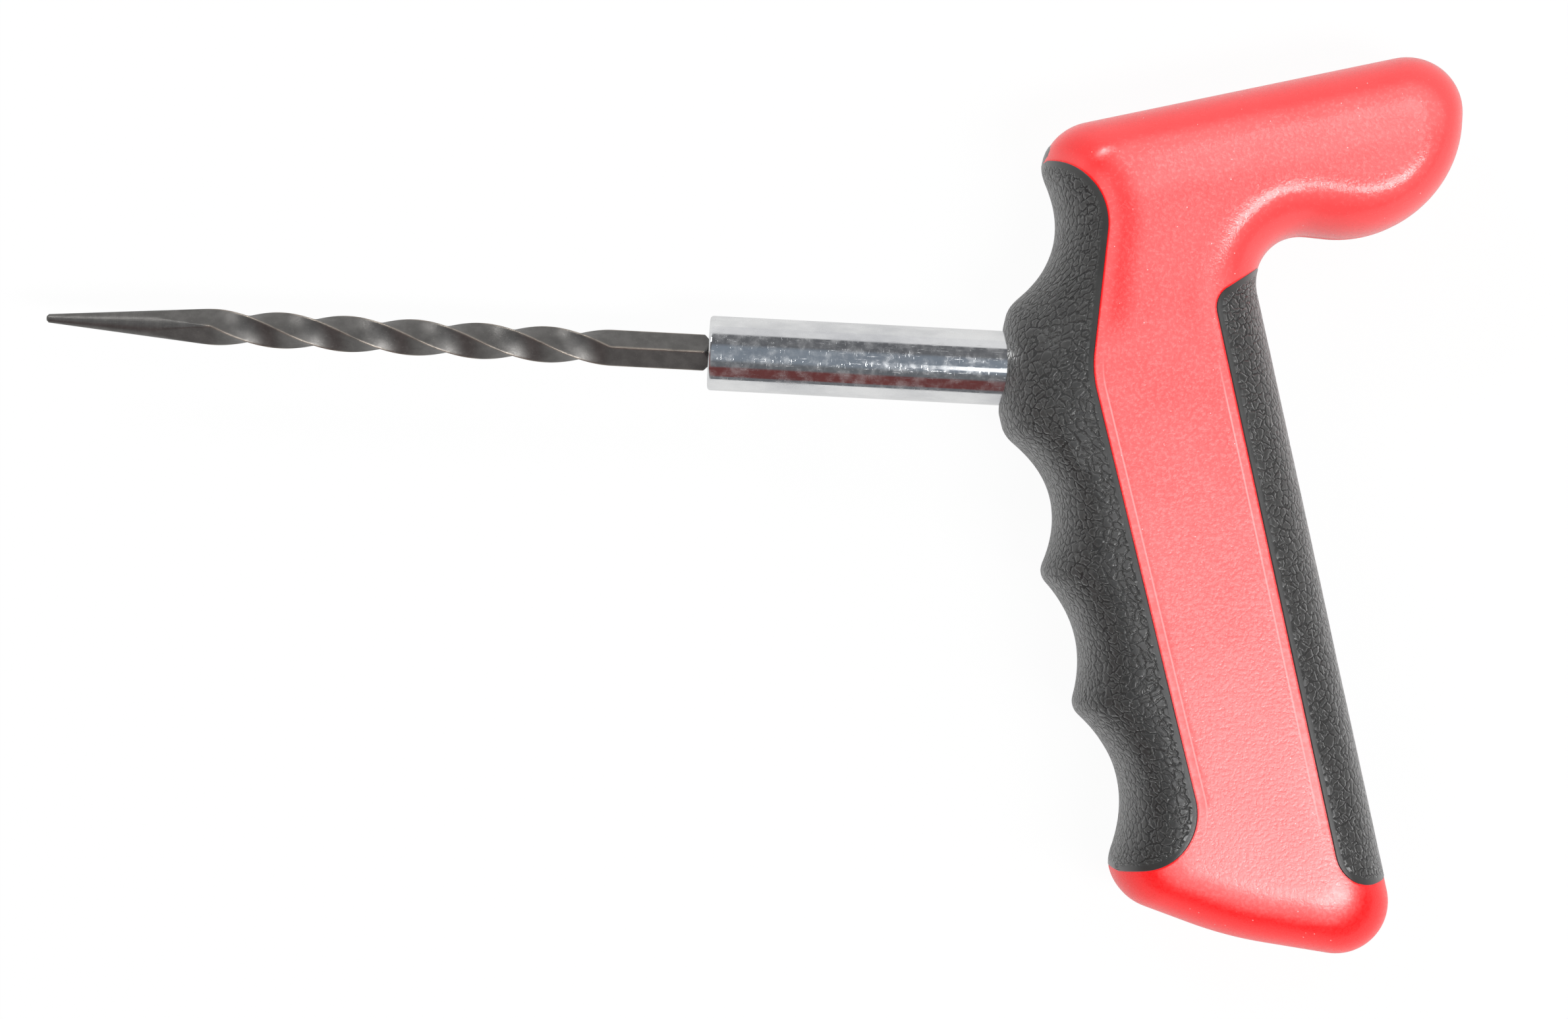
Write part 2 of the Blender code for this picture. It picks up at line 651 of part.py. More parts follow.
def main():
    clear_scene()
    parts = new_collection("tire_repair_probe")
    cutters = new_collection("tire_repair_probe_cutters")
    red = material("red moulded plastic", (0.72, 0.035, 0.045), 0.45)
    red_far = material("red moulded plastic, right half", (0.72, 0.035, 0.045), 0.45)
    front_black = material("black grip rubber", (0.030, 0.031, 0.032), 0.6)
    back_black = material("black backstrap rubber", (0.030, 0.031, 0.032), 0.6)
    chrome = material("polished chrome", (0.72, 0.73, 0.75), 0.08, 1.0)
    pin_steel = material("plain pin steel", (0.45, 0.45, 0.46), 0.35, 1.0)
    black_steel = material("black oxide screw", (0.05, 0.05, 0.05), 0.4, 1.0)
    dark_steel = material("dark tool steel", (0.16, 0.155, 0.145), 0.35, 1.0)

    core = as_cutter(handle_skin("rubber_core", RUBBER_THICKNESS, cutters))
    bed = as_cutter(handle_skin("rubber_bed", RUBBER_THICKNESS + SEAT_GAP, cutters))
    sleeve_way = rod(
        "sleeve_way",
        SLEEVE_DIAMETER / 2 + SEAT_GAP,
        SLEEVE_LENGTH + SEAT_GAP,
        (MOUTH, 0, MID),
        cutters,
        ALONG_X,
    )
    pin_way = rod(
        "pin_way",
        PIN_DIAMETER / 2 + SEAT_GAP,
        PIN_LENGTH + 2 * SEAT_GAP,
        (PIN_PLACE, 0, MID - PIN_LENGTH / 2 - SEAT_GAP),
        cutters,
    )
    hollows = [
        handle_cavity(cutters),
        rubber_pocket("front_pocket", front_rubber_sides(), bed, cutters),
        rubber_pocket("back_pocket", back_rubber_sides(), bed, cutters),
        as_cutter(sleeve_way),
        as_cutter(pin_way),
    ]
    handle_shell("left_handle_shell", 1, hollows, red, parts, cutters)
    handle_shell("right_handle_shell", -1, hollows, red_far, parts, cutters)
    front = rubber_grip("front_grip", front_rubber_sides(), core, front_black, parts, cutters)
    boolean(front, "DIFFERENCE", sleeve_way)
    rubber_grip("rear_grip", back_rubber_sides(), core, back_black, parts, cutters)
    chuck_sleeve(chrome, parts, cutters)
    cross_pin(pin_steel, parts)
    set_screw(black_steel, parts, cutters)
    probe(dark_steel, parts, cutters)

    origin = bpy.data.objects.new("tool_origin", None)
    parts.objects.link(origin)
    for obj in parts.objects:
        if obj != origin:
            obj.parent = origin


main()
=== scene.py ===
"""Finished looks of a pistol-grip tire repair probe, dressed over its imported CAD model.

The handle's halves, its rubber grips, the sleeve, the set screw and the probe are built again with fine
surfaces from the sizes of the CAD model. All lengths are in metres, in the frame of the CAD model.
"""

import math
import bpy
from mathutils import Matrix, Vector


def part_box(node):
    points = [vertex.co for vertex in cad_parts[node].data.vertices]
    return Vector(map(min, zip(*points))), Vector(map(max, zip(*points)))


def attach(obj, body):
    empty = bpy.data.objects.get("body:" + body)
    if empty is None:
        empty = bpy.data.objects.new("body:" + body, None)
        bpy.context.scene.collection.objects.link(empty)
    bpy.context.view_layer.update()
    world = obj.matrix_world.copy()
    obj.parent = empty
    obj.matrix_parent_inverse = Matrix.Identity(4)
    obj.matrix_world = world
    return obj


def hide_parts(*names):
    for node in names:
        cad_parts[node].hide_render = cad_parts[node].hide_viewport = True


bl_info = {
    "name": "Tire Probe Looks",
    "version": (1, 0, 0),
    "blender": (4, 5, 0),
    "location": "View3D > Sidebar > Tire Probe",
    "description": "Fine surfaces, materials and a photo stage for a pistol-grip tire repair probe",
    "category": "Object",
}

from collections import namedtuple

import bmesh
import bpy
import numpy as np
from bpy.props import FloatProperty, FloatVectorProperty, PointerProperty
from mathutils import Matrix, Vector, noise
from mathutils.bvhtree import BVHTree
from mathutils.geometry import delaunay_2d_cdt
from mathutils.kdtree import KDTree

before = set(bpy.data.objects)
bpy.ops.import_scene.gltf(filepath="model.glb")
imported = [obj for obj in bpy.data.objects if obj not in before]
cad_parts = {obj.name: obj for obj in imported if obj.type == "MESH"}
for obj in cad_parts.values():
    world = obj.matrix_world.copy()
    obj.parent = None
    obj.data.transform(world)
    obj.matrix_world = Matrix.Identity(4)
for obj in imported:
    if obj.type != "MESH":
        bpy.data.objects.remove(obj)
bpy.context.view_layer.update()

SLEEVE_LOW, SLEEVE_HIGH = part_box("chuck_sleeve")
PROBE_LOW, PROBE_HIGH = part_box("probe")
SCREW_LOW, SCREW_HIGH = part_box("set_screw")
SIDE_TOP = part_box("left_handle_shell")[1].z
MID = (SLEEVE_LOW.z + SLEEVE_HIGH.z) / 2
MOUTH = SLEEVE_LOW.x
SLEEVE_RADIUS = (SLEEVE_HIGH.y - SLEEVE_LOW.y) / 2
SCREW_PLACE = (SCREW_LOW.x + SCREW_HIGH.x) / 2

# Outline of the handle, seen from its left side, as in the CAD model
COLLAR_REACH = 0.0250
COLLAR_ABOVE = 0.0062
COLLAR_BELOW = 0.0068
NECK_LIP = 0.0032
COLLAR_LIP = 0.0036
NECK_LEAN = math.radians(10.2)
NECK_GROOVE_LENGTH = 0.0212
NECK_GROOVE_DEPTH = 0.0046
FRONT_RAKE = math.radians(16.6)
FINGER_PITCHES = (0.0215, 0.0208, 0.0240)
FINGER_DEPTHS = (0.0046, 0.0033, 0.0045)
CREST_SOFTNESS = 0.0012
HEEL_DROP = 0.0053
HEEL_LENGTH = 0.0173
HEEL_SLOPE = math.radians(17.4)
BASE_SLOPE = math.radians(6.3)
BACK_REACH = 0.0164
BACK_RAKE = math.radians(15.3)
HORN_HEIGHT = 0.0415
HORN_RISE = math.radians(14.7)
HORN_REACH = 0.0423
WEB_HEIGHT = 0.0235
WEB_FALL = math.radians(3.2)
NECK_CORNER_RADIUS = 0.0080
COLLAR_CORNER_RADIUS = 0.0030
HEEL_CORNER_RADIUS = 0.0079
BASE_CROWN_RADIUS = 0.0600
BACK_CORNER_RADIUS = 0.0080
WEB_RADIUS = 0.0073
NOSE_RADIUS = 0.0184
HORN_CORNER_RADIUS = 0.0086
LEAST_RADIUS = 0.0020
FILLET_LIMIT = 0.96
FRONT_ROLL = 0.0122
NECK_ROLL = 0.0158
BACK_ROLL = 0.0105
END_ROLL = 0.0101
WEB_ROLL = 0.0090
ROLL_POWER = 0.92
SOFT_POWER = 0.70  # of the roll's start beside the flat side

# Edges of the rubber
COLLAR_BAND = 0.0127
COLLAR_EDGE_LEAN = math.radians(3.5)
FINGER_BAND = 0.0140
FRONT_TOP_DROP = 0.0050
FRONT_TOP_FALL = math.radians(12.0)
FRONT_BELOW_CREST = 0.0010
FRONT_FOOT_RISE = math.radians(10.0)
FRONT_TOP_RADIUS = 0.0101
FRONT_BEND_RADIUS = 0.0170
FRONT_FOOT_RADIUS = 0.0088
FRONT_CLEAR = 0.0100
BACK_BAND = 0.0080
BACK_TOP_DROP = 0.0066
BACK_FOOT_RISE = 0.0141
BACK_TOP_RISE = math.radians(34.5)
BACK_TOP_RADIUS = 0.0035
BACK_FOOT_TILT = math.radians(15.0)
BACK_FOOT_RADIUS = 0.0054
BACK_CLEAR = 0.0030
FRONT_TAB = (0.0024, 0.0009, 0.0046)  # half length, half thickness and half width of the tab on its top
TAB_REACH = 0.40  # of the tab's middle past the end of the rubber, as a share of its half length
TAB_SINK = 0.88  # of its middle under the rim, as a share of its half thickness
BORDER_LOW = (-0.0700, -0.0610)  # heights where the border beside the rubber fades out below
BORDER_HIGH = (0.0040, -0.0060)  # and above
BORDER_FADE = (0.0012, 0.0002)  # under the flat side, where the border fades out on the rim
PALE_FADE = (0.0014, 0.00002)  # under the flat side, where its painted light fades out
JOINT_STEP = (0.00005, 0.00022)  # under the rubber, where the red plastic sinks on the side
RIM_STEP = (0.0006, 0.0009)  # and on the rim
RIM_BLEND = (-0.0020, -0.0008)  # inside the rim, where one step goes over to the other
SWELL_WIDTH = 0.004
SWELL_DEPTH = 0.00003
CREASE_BENDS = ((0.55, 0.55), (1.7, 0.18))  # waves in a cell and reach, in cells, of the bends in its creases
CREASE_BREAKS = 0.8  # waves in a cell of the places where the creases are shallow
CREASE_WIDTH = (0.17, 0.05)  # in cells, and how much it changes
CREASE_LEAST = 0.35  # depth where the creases are shallow
CREASE_SHALLOW = (-0.35, 0.15)  # values of the breaks between which they grow to full depth
GRAIN_START = (0.85, 1.35)  # in widths of the smooth border, where the grain begins
STEEP_SLOPE = (0.97, 0.72)  # upward part of the normal, between which the rubber turns steep

# Probe, sleeve and set screw
BAR_FLATS = 0.0040
SHANK_LENGTH = 0.0144
TWIST_LENGTH = 0.0614
TWIST_TURNS = 1.5
TWIST_EASE = 0.015
TAPER_LENGTH = 0.0255
POINT_RADIUS = 0.00065
POINT_ROUND = 0.0003
TAPER_FINE = 1.06  # length of the finely divided point, as a share of the taper
TURNED_SOFTNESS = 0.00008  # of the change from the square bar to the turned point
WEAR_ZONE = (1.31, 0.968)  # from the half flats to the corner, as shares of each, where the edge is worn
SHOULDER_GAP = 0.0001
SHOULDER_CHAMFER = 0.0007
TANG_RADIUS = 0.0018
TANG_CHAMFER = 0.0004
TANG_STEP = 0.0004
BORE_RADIUS = 0.0020
BORE_DEPTH = 0.0230
BORE_LIP = 0.0002
SLEEVE_BEVEL = 0.0005
BEVEL_ANGLES = (12, 78)  # degrees of the first and last edges of the rounded bevel
SCREW_HOLE_RADIUS = 0.0027
FLARE_WIDTH = 0.0012
FLARE_DEPTH = 0.0009
FLARE_CLEAR = 0.0003
SOCKET_FLATS = 0.0025
SOCKET_DEPTH = 0.0018
SOCKET_MOUTH = ((0.28, 0.0006), (0.62, -0.0001))  # radius, as a share of the flats, and height of its cone
THREAD_SLOPE = 1.5  # of the thread's flanks
THREAD_CREST = 0.25  # how much of them its flat crests cut off
SCREW_CHAMFER = 0.0004
SCREW_POINT = 0.0008

# Fineness of the surfaces
CREST_SAMPLES = 5
FORM_STEPS = 64  # round the rim of the form that heights are read from
RIM_STEPS = 22  # round the steep part of the red rim
RIM_END = math.radians(55)
PANEL_SPACING = 0.0009
LINE_SPACING = 0.0006
ROUND_STEPS = 128
PATCH_SAMPLES = 96
PATCH_POWER = 2.5  # how closely the samples crowd at the rim
SINK_DEPTH = 0.0012  # of the red plastic under the rubber
RUBBER_DEPTH = 0.0010
RUBBER_BACK_COLUMNS = 9
RUBBER_PACE = 0.35  # weight of steps across a grip when its rows are spaced
RUBBER_ENDS = (0.0012, 0.9988)  # shares of the grip's edge where its first and last rows lie
FRONT_GRID = (460, 98)  # rows, and columns in each half
BACK_GRID = (380, 80)
TAB_RINGS = 9
TAB_STEPS = 20
TAB_END = 84  # degrees of the tab's first and last rings
TAB_AIM = 3  # points of the rim that its direction is taken over
SLEEVE_ROWS = 80
BEVEL_STEPS = 5
SOCKET_STEPS = 48
SCREW_STEPS = 72
SCREW_ROWS = 70
BAR_STEPS = 25  # points along each flat
TAPER_ROWS = 130
TWIST_ROWS = 330
SHANK_ROWS = 30
SHOULDER_ROWS = 12
SHARP_ANGLE = math.radians(35)
WELD_DISTANCE = 1e-6

# Looks of the red plastic: heights on the handle, or distances from the rubber, between which it changes
RIM_LIGHT_ZONE = (-0.060, 0.020)  # from the colour of the base's rim to the paler colour of the horn's, which is painted light
FLAT_LIGHT_ZONE = (-0.030, 0.022)  # where the painted light on the flat side weakens
FLAT_LIGHT_LEFT = 0.62  # share of it left on the horn
HORN_HIGHLIGHT_ZONE = (HORN_HEIGHT - 0.0150, HORN_HEIGHT - 0.0095)  # where a painted highlight makes it grow again under the horn's top edge
HORN_HIGHLIGHT_GAIN = 0.75
NECK_BACK = (0.004, -0.002)  # place along the shaft where the painted shade of a hollow beside the neck begins
NECK_FOOT = (0.002, 0.010)  # height where it begins
HOLLOW_START = (0.0006, 0.0024)  # from the rubber, where it deepens
HOLLOW_END = (0.0060, 0.0030)  # and where it ends
HOLLOW_SHADE = 0.55
GRAIN_ZONE = (-0.020, 0.030)  # where the mould texture grows deeper
GRAIN_GAIN = 1.35
GRAIN_DEPTH = 0.000044
POLISH_ZONE = (-0.070, 0.010)  # where the plastic grows glossier
POLISH = 0.03
EDGE_LINE = (0.00030, 0.00005)  # dark line along the rubber
CLOUD_WIDTH = 0.012
# Pale sparkle of the grain where painted light falls: painted highlight
SPARKLE_COLOUR = (0.95, 0.26, 0.26)
BORDER_COLOUR = (0.95, 0.30, 0.30)
# Painted highlight along the slope of the border
SLOPE_HIGHLIGHT_COLOUR = (0.97, 0.58, 0.58)

# Looks of the rubber, the chrome and the steel
SHADED_BOTTOM_ZONE = (0.0, -0.060)  # heights between which painted shade darkens the rubber towards the bottom
BOTTOM_SHADE_DEPTH = 0.35
PORE_WIDTH = 0.00022
PORE_DEPTH = 0.000016
PATCH_WIDTH = 0.006
CELL_SWELL = 0.00008
CREASE_DEPTH = 0.00012
SCRATCH_WIDTH = 0.00014
ROUND_SCRATCH_WIDTH = 0.00013
SCRATCH_DEPTH = 0.000004
SMEAR_WIDTH = 0.006
WAVE_WIDTH = 0.0035
WAVE_DEPTH = 0.00002
HAZE_WIDTH = 0.0018
SPECKLE_WIDTH = 0.00025
SPECKLE_DEPTH = 0.00003
WEAR_WIDTH = 0.0022
LATHE_WIDTH = 0.00014
LATHE_DEPTH = 0.000006
MARK_WIDTH = 0.00012
MARK_DEPTH = 0.00001
STAIN_WIDTH = 0.0014
RED_DUST = (0.97, 0.68, 0.68)
RED_SPECKS = (0.0013, 0.00010, 0.35)  # spacing, size and share of the places that have a speck of dust
RUBBER_DUST = (0.20, 0.20, 0.20)
RUBBER_SPECKS = (0.0022, 0.00010, 0.25)
CHROME_DUST = (0.85, 0.85, 0.85)
CHROME_SPECKS = (0.0015, 0.00009, 0.30)

# Stage: lamps by the name of their setting, with place and size, and the tones of the walls in reflections
SOFT_BOXES = (
    ("key", (0.49, -0.29, 1.10), (0.68, 0.20)),
    ("side", (0.0815, -0.19, 1.10), (0.137, 0.22)),
    ("back", (0.27, 0.38, 1.10), (0.30, 0.30)),
    ("fill", (-0.60, 0.70, 0.75), (0.30, 0.30)),
)
FLOOR_REACH = 3.0
FLOOR_DROP = 0.0002
FIBRE_WIDTH = 0.004
NEAR_TONES = (0.135, 0.140, 0.150), (0.135, 0.043, 0.042), (0.120, 0.126, 0.136)  # from the floor upwards
NEAR_EDGES = (0.17, 0.24), (0.66, 0.76)
FAR_TONES = (0.65, 0.65, 0.66), (0.118, 0.121, 0.130)
FAR_EDGE = (0.45, 0.53)
CEILING_TONE = (0.187, 0.215, 0.252)
CEILING_EDGE = (0.86, 0.96)
WALL_CORNER = (-0.08, 0.08)
DOME_TOP = 0.06  # light from straight above, as a share of that at the horizon
CAMERA_PLACE = (-0.05687, -0.02313)
SENSOR_WIDTH = 36.0

Side = namedtuple("Side", "point heading radius arc_steps line_steps roll grooves", defaults=(0, ()))
Groove = namedtuple("Groove", "start length depth")
Form = namedtuple("Form", "rim panel tree")

# Places of some sides in the handle's outline
TOP, NECK, FINGERS, BASE, BACK = 0, 1, 3, 5, 6


def number_property(name, description, default, **limits):
    """Number that a user may change."""
    return FloatProperty(name=name, description=description, default=default, **limits)


def size_property(name, description, default):
    return number_property(name, description, default, min=0.0, precision=6, unit="LENGTH")


def share_property(name, description, default):
    return number_property(name, description, default, min=0.0, max=1.0, subtype="FACTOR")


def power_property(name, description, default):
    return number_property(name, description, default, min=0.0, unit="POWER")


def colour_property(name, description, default):
    return FloatVectorProperty(
        name=name, description=description, default=default, min=0.0, max=1.0, size=3, subtype="COLOR"
    )


class TireProbePlastic(bpy.types.PropertyGroup):
    """Red moulded plastic of the handle's halves."""

    colour: colour_property("Colour", "Colour of the rounded rim", (0.95, 0.006, 0.008))
    # Painted light: the horn's rim is paler than the base's, a painted reflection of the white surroundings
    horn_rim_lit_colour: colour_property("Horn colour", "Paler colour of the horn's rim", (0.95, 0.072, 0.074))
    # Painted light: the flat sides are paler where light falls on them from above
    flat_lit_colour: colour_property("Flat colour", "Paler colour of the flat sides", (0.95, 0.160, 0.160))
    roughness: share_property("Roughness", "Mean roughness of the spark-eroded texture", 0.25)
    grain: size_property("Grain", "Width of one bump of the spark-eroded texture", 0.00055)
    seam_gap: size_property("Seam gap", "Gap between the two halves", 0.00015)
    seam_depth: size_property("Seam depth", "Depth of the groove along the seam", 0.00025)
    border: size_property("Border", "Width of the lowered border beside the rubber", 0.0012)
    border_slope: size_property("Border slope", "Width of the slope that ends the border", 0.0002)
    border_depth: size_property("Border depth", "How far the border is lowered", 0.00005)


class TireProbeRubber(bpy.types.PropertyGroup):
    """Black rubber moulded over the handle."""

    colour: colour_property("Colour", "Colour of the rubber", (0.035, 0.035, 0.034))
    roughness: share_property("Roughness", "Roughness of the cells of the grain", 0.34)
    cell: size_property("Cell", "Mean width of a cell of the leather grain", 0.00125)
    cell_depth: size_property("Cell depth", "Depth of the folds under the creases", 0.00002)
    border: size_property("Border", "Width of the smooth border along its edge", 0.0010)
    edge_radius: size_property("Edge radius", "Rounding of its edge", 0.00028)
    proud: size_property("Proud", "How far it stands over the plastic", 0.00008)


class TireProbeMetal(bpy.types.PropertyGroup):
    """Sleeve, probe, set screw and cross pin."""

    chrome: colour_property("Chrome", "Reflection colour of the sleeve", (0.92, 0.93, 0.95))
    chrome_roughness: share_property("Chrome roughness", "Roughness of the polished sleeve", 0.06)
    oxide: colour_property("Oxide", "Dark oxide on the probe", (0.166, 0.161, 0.154))
    worn: colour_property("Worn edge", "Bare steel on the probe's edges", (0.40, 0.35, 0.30))
    screw: colour_property("Screw", "Black oxide on the set screw", (0.035, 0.035, 0.037))
    pin: colour_property("Pin", "Ground steel of the cross pin", (0.45, 0.45, 0.46))
    bar_edge: number_property("Bar edge", "Sharpness of the bar's edges, as a power", 22.0, min=4.0, max=60.0)
    thread_pitch: size_property("Thread pitch", "Pitch of the set screw's thread", 0.0008)
    thread_depth: size_property("Thread depth", "Depth of the set screw's thread", 0.00042)


class TireProbeStage(bpy.types.PropertyGroup):
    """Floor, light and camera."""

    floor: colour_property("Floor", "Colour of the floor", (0.94, 0.94, 0.94))
    shadow: share_property("Shadow", "How much of the shadow the camera sees on the floor", 0.045)
    dome: number_property("Dome", "Strength of the soft light at the horizon", 1.30, min=0.0)
    mirrored: share_property("Mirrored floor", "Strength of the white floor in reflections", 0.68)
    key: power_property("Key", "Power of the strongest soft box", 10.8)
    side: power_property("Side", "Power of the box beside it", 0.1)
    back: power_property("Back", "Power of the soft box behind", 1.5)
    fill: power_property("Fill", "Power of the low soft box", 4.0)
    lens: number_property("Lens", "Focal length of the camera in millimetres", 85.0, min=1.0)
    view_width: size_property("View width", "Width of the view at the middle of the tool", 0.2380)
    roll: number_property("Roll", "Turn of the camera about its sight", math.radians(3.0), unit="ROTATION")


def along(heading):
    return Vector((math.cos(heading), math.sin(heading)))


def across(heading):
    """Unit vector to the left of a heading, into an outline that runs anticlockwise."""
    return Vector((-math.sin(heading), math.cos(heading)))


def meet(point, heading, other_point, other_heading):
    """Where two lines cross."""
    side = across(other_heading)
    reach = (other_point - point).dot(side) / along(heading).dot(side)
    return point + along(heading) * reach


def corner_after(sides, here):
    """Where a side meets the next one, before its fillet."""
    side, after = sides[here], sides[(here + 1) % len(sides)]
    return meet(side.point, side.heading, after.point, after.heading)


def corner_arc(corner, heading, turn, radius, steps):
    """Points of a fillet, from one tangent point to the other."""
    spot = corner - along(heading) * (radius * math.tan(abs(turn) / 2))
    chord = 2 * radius * math.sin(abs(turn) / (2 * steps))
    points = [spot]
    for step in range(steps):
        spot = spot + along(heading + turn * (step + 0.5) / steps) * chord
        points.append(spot)
    return points


def bowl_depth(grooves, distance):
    """Depth of a row of parabolic grooves, which meet in sharp crests, at a distance along their side."""
    for groove in grooves:
        share = (distance - groove.start) / groove.length
        if 0 < share < 1:
            return groove.depth * 4 * share * (1 - share)
    return 0.0


def groove_depth(grooves, distance):
    """Depth of the same grooves with rounded crests: the mean over a short length of their side."""
    half = CREST_SAMPLES // 2
    near = [distance + CREST_SOFTNESS * step / half for step in range(-half, half + 1)]
    return sum(bowl_depth(grooves, spot) for spot in near) / len(near)


def rounded_loop(sides, insets):
    """Outline of straight sides and filleted corners, each side moved in by its inset."""
    count = len(sides)
    starts = [side.point + across(side.heading) * inset for side, inset in zip(sides, insets)]
    corners, turns, radii, reaches = [], [], [], []
    for here, side in enumerate(sides):
        after = (here + 1) % count
        turn = math.remainder(sides[after].heading - side.heading, math.tau)
        inward = math.copysign((insets[here] + insets[after]) / 2, turn)
        corners.append(meet(starts[here], side.heading, starts[after], sides[after].heading))
        turns.append(turn)
        radii.append(max(side.radius - inward, LEAST_RADIUS))
        reaches.append(radii[here] * math.tan(abs(turn) / 2))
    limits = []
    for here in range(count):
        room = (corners[here] - corners[here - 1]).length
        limits.append(min(1.0, FILLET_LIMIT * room / (reaches[here - 1] + reaches[here])))
    arcs = []
    for here, side in enumerate(sides):
        radius = radii[here] * min(limits[here], limits[(here + 1) % count])
        arcs.append(corner_arc(corners[here], side.heading, turns[here], radius, side.arc_steps))
    points = []
    for here, side in enumerate(sides):
        first, last = arcs[here - 1][-1], arcs[here][0]
        for step in range(1, side.line_steps):
            spot = first.lerp(last, step / side.line_steps)
            depth = groove_depth(side.grooves, (spot - side.point).dot(along(side.heading)))
            points.append(spot + across(side.heading) * depth)
        points += arcs[here]
    return np.array([tuple(spot) for spot in points])


def handle_sides():
    """The handle's outline, anticlockwise from the top of the horn."""
    right_angle = math.radians(90)
    collar_top = Vector((-COLLAR_REACH, COLLAR_ABOVE))
    collar_foot = Vector((-COLLAR_REACH, -COLLAR_BELOW))
    front = -right_angle + FRONT_RAKE
    heel = collar_foot + along(front) * (COLLAR_LIP + sum(FINGER_PITCHES) + HEEL_DROP)
    base = heel + along(-HEEL_SLOPE) * HEEL_LENGTH
    neck_groove = Groove(-NECK_LIP - NECK_GROOVE_LENGTH, NECK_GROOVE_LENGTH, NECK_GROOVE_DEPTH)
    fingers = []
    place = COLLAR_LIP
    for pitch, depth in zip(FINGER_PITCHES, FINGER_DEPTHS):
        fingers.append(Groove(place, pitch, depth))
        place += pitch
    return [
        Side(Vector((0, HORN_HEIGHT)), math.pi + HORN_RISE, NECK_CORNER_RADIUS, 22, 90, END_ROLL),
        Side(collar_top, -right_angle - NECK_LEAN, COLLAR_CORNER_RADIUS, 8, 60, NECK_ROLL, (neck_groove,)),
        Side(collar_top, -right_angle, COLLAR_CORNER_RADIUS, 8, 22, FRONT_ROLL),
        Side(collar_foot, front, HEEL_CORNER_RADIUS, 18, 170, FRONT_ROLL, tuple(fingers)),
        Side(heel, -HEEL_SLOPE, BASE_CROWN_RADIUS, 12, 24, END_ROLL),
        Side(base, -BASE_SLOPE, BACK_CORNER_RADIUS, 24, 24, END_ROLL),
        Side(Vector((BACK_REACH, 0)), right_angle + BACK_RAKE, WEB_RADIUS, 28, 140, BACK_ROLL),
        Side(Vector((0, WEB_HEIGHT)), -WEB_FALL, NOSE_RADIUS, 36, 8, WEB_ROLL),
        Side(Vector((HORN_REACH, 0)), right_angle, HORN_CORNER_RADIUS, 28, 6, WEB_ROLL),
    ]


def front_rubber_sides():
    """Edge of the front rubber on the handle's side, anticlockwise, closed in front of the grip."""
    right_angle = math.radians(90)
    sides = handle_sides()
    fingers = sides[FINGERS]
    neck_front = corner_after(sides, TOP) + along(sides[NECK].heading) * FRONT_TOP_DROP
    last_crest = fingers.point + along(fingers.heading) * (COLLAR_LIP + sum(FINGER_PITCHES))
    foot = last_crest + along(fingers.heading) * FRONT_BELOW_CREST
    inner_edge = fingers.point + across(fingers.heading) * FINGER_BAND
    collar_edge = Vector((-COLLAR_REACH + COLLAR_BAND, 0))
    return [
        Side(neck_front, math.pi - FRONT_TOP_FALL, LEAST_RADIUS, 4, 1),
        Side(Vector((-COLLAR_REACH - FRONT_CLEAR, 0)), -right_angle, LEAST_RADIUS, 4, 1),
        Side(foot, FRONT_FOOT_RISE, FRONT_FOOT_RADIUS, 24, 1),
        Side(inner_edge, fingers.heading + math.pi, FRONT_BEND_RADIUS, 10, 1),
        Side(collar_edge, right_angle - COLLAR_EDGE_LEAN, FRONT_TOP_RADIUS, 20, 1),
    ]


def back_rubber_sides():
    """Edge of the backstrap, anticlockwise, closed behind the grip."""
    sides = handle_sides()
    back = sides[BACK]
    inward = across(back.heading)
    top = corner_after(sides, BACK) - along(back.heading) * BACK_TOP_DROP
    foot = corner_after(sides, BASE) + along(back.heading) * BACK_FOOT_RISE
    return [
        Side(top, math.pi + BACK_TOP_RISE, BACK_TOP_RADIUS, 16, 1),
        Side(back.point + inward * BACK_BAND, back.heading + math.pi, BACK_FOOT_RADIUS, 20, 1),
        Side(foot, BACK_FOOT_TILT, LEAST_RADIUS, 4, 1),
        Side(back.point - inward * BACK_CLEAR, back.heading, LEAST_RADIUS, 4, 1),
    ]


def zone_loop(sides, grow=0.0):
    """Edge of a rubber zone, or the line at a distance outside it."""
    return rounded_loop(sides, [-grow] * len(sides))


def smooth(low, high, values):
    """Smooth step from 0 at low to 1 at high, which may be the smaller one."""
    share = np.clip((values - low) / (high - low), 0.0, 1.0)
    return share * share * (3 - 2 * share)


def signed_distance(spots, loop):
    """Distance of each spot from a closed loop, negative inside it."""
    nearest = np.full(len(spots), np.inf)
    inside = np.zeros(len(spots), bool)
    for start, end in zip(loop, np.roll(loop, -1, axis=0)):
        run = end - start
        offset = spots - start
        share = np.clip(offset @ run / (run @ run), 0.0, 1.0)
        gap = offset - share[:, None] * run
        nearest = np.minimum(nearest, (gap * gap).sum(axis=1))
        if run[1]:
            crosses = (offset[:, 1] >= 0) != (offset[:, 1] >= run[1])
            inside ^= crosses & (offset[:, 0] < offset[:, 1] * run[0] / run[1])
    return np.where(inside, -1.0, 1.0) * np.sqrt(nearest)


def resampled(points, spacing):
    """Closed loop with even spots."""
    closed = np.vstack([points, points[:1]])
    reach = np.concatenate([[0], np.cumsum(np.linalg.norm(np.diff(closed, axis=0), axis=1))])
    places = np.linspace(0, reach[-1], max(8, round(reach[-1] / spacing)), endpoint=False)
    return np.column_stack([np.interp(places, reach, closed[:, axis]) for axis in (0, 1)])


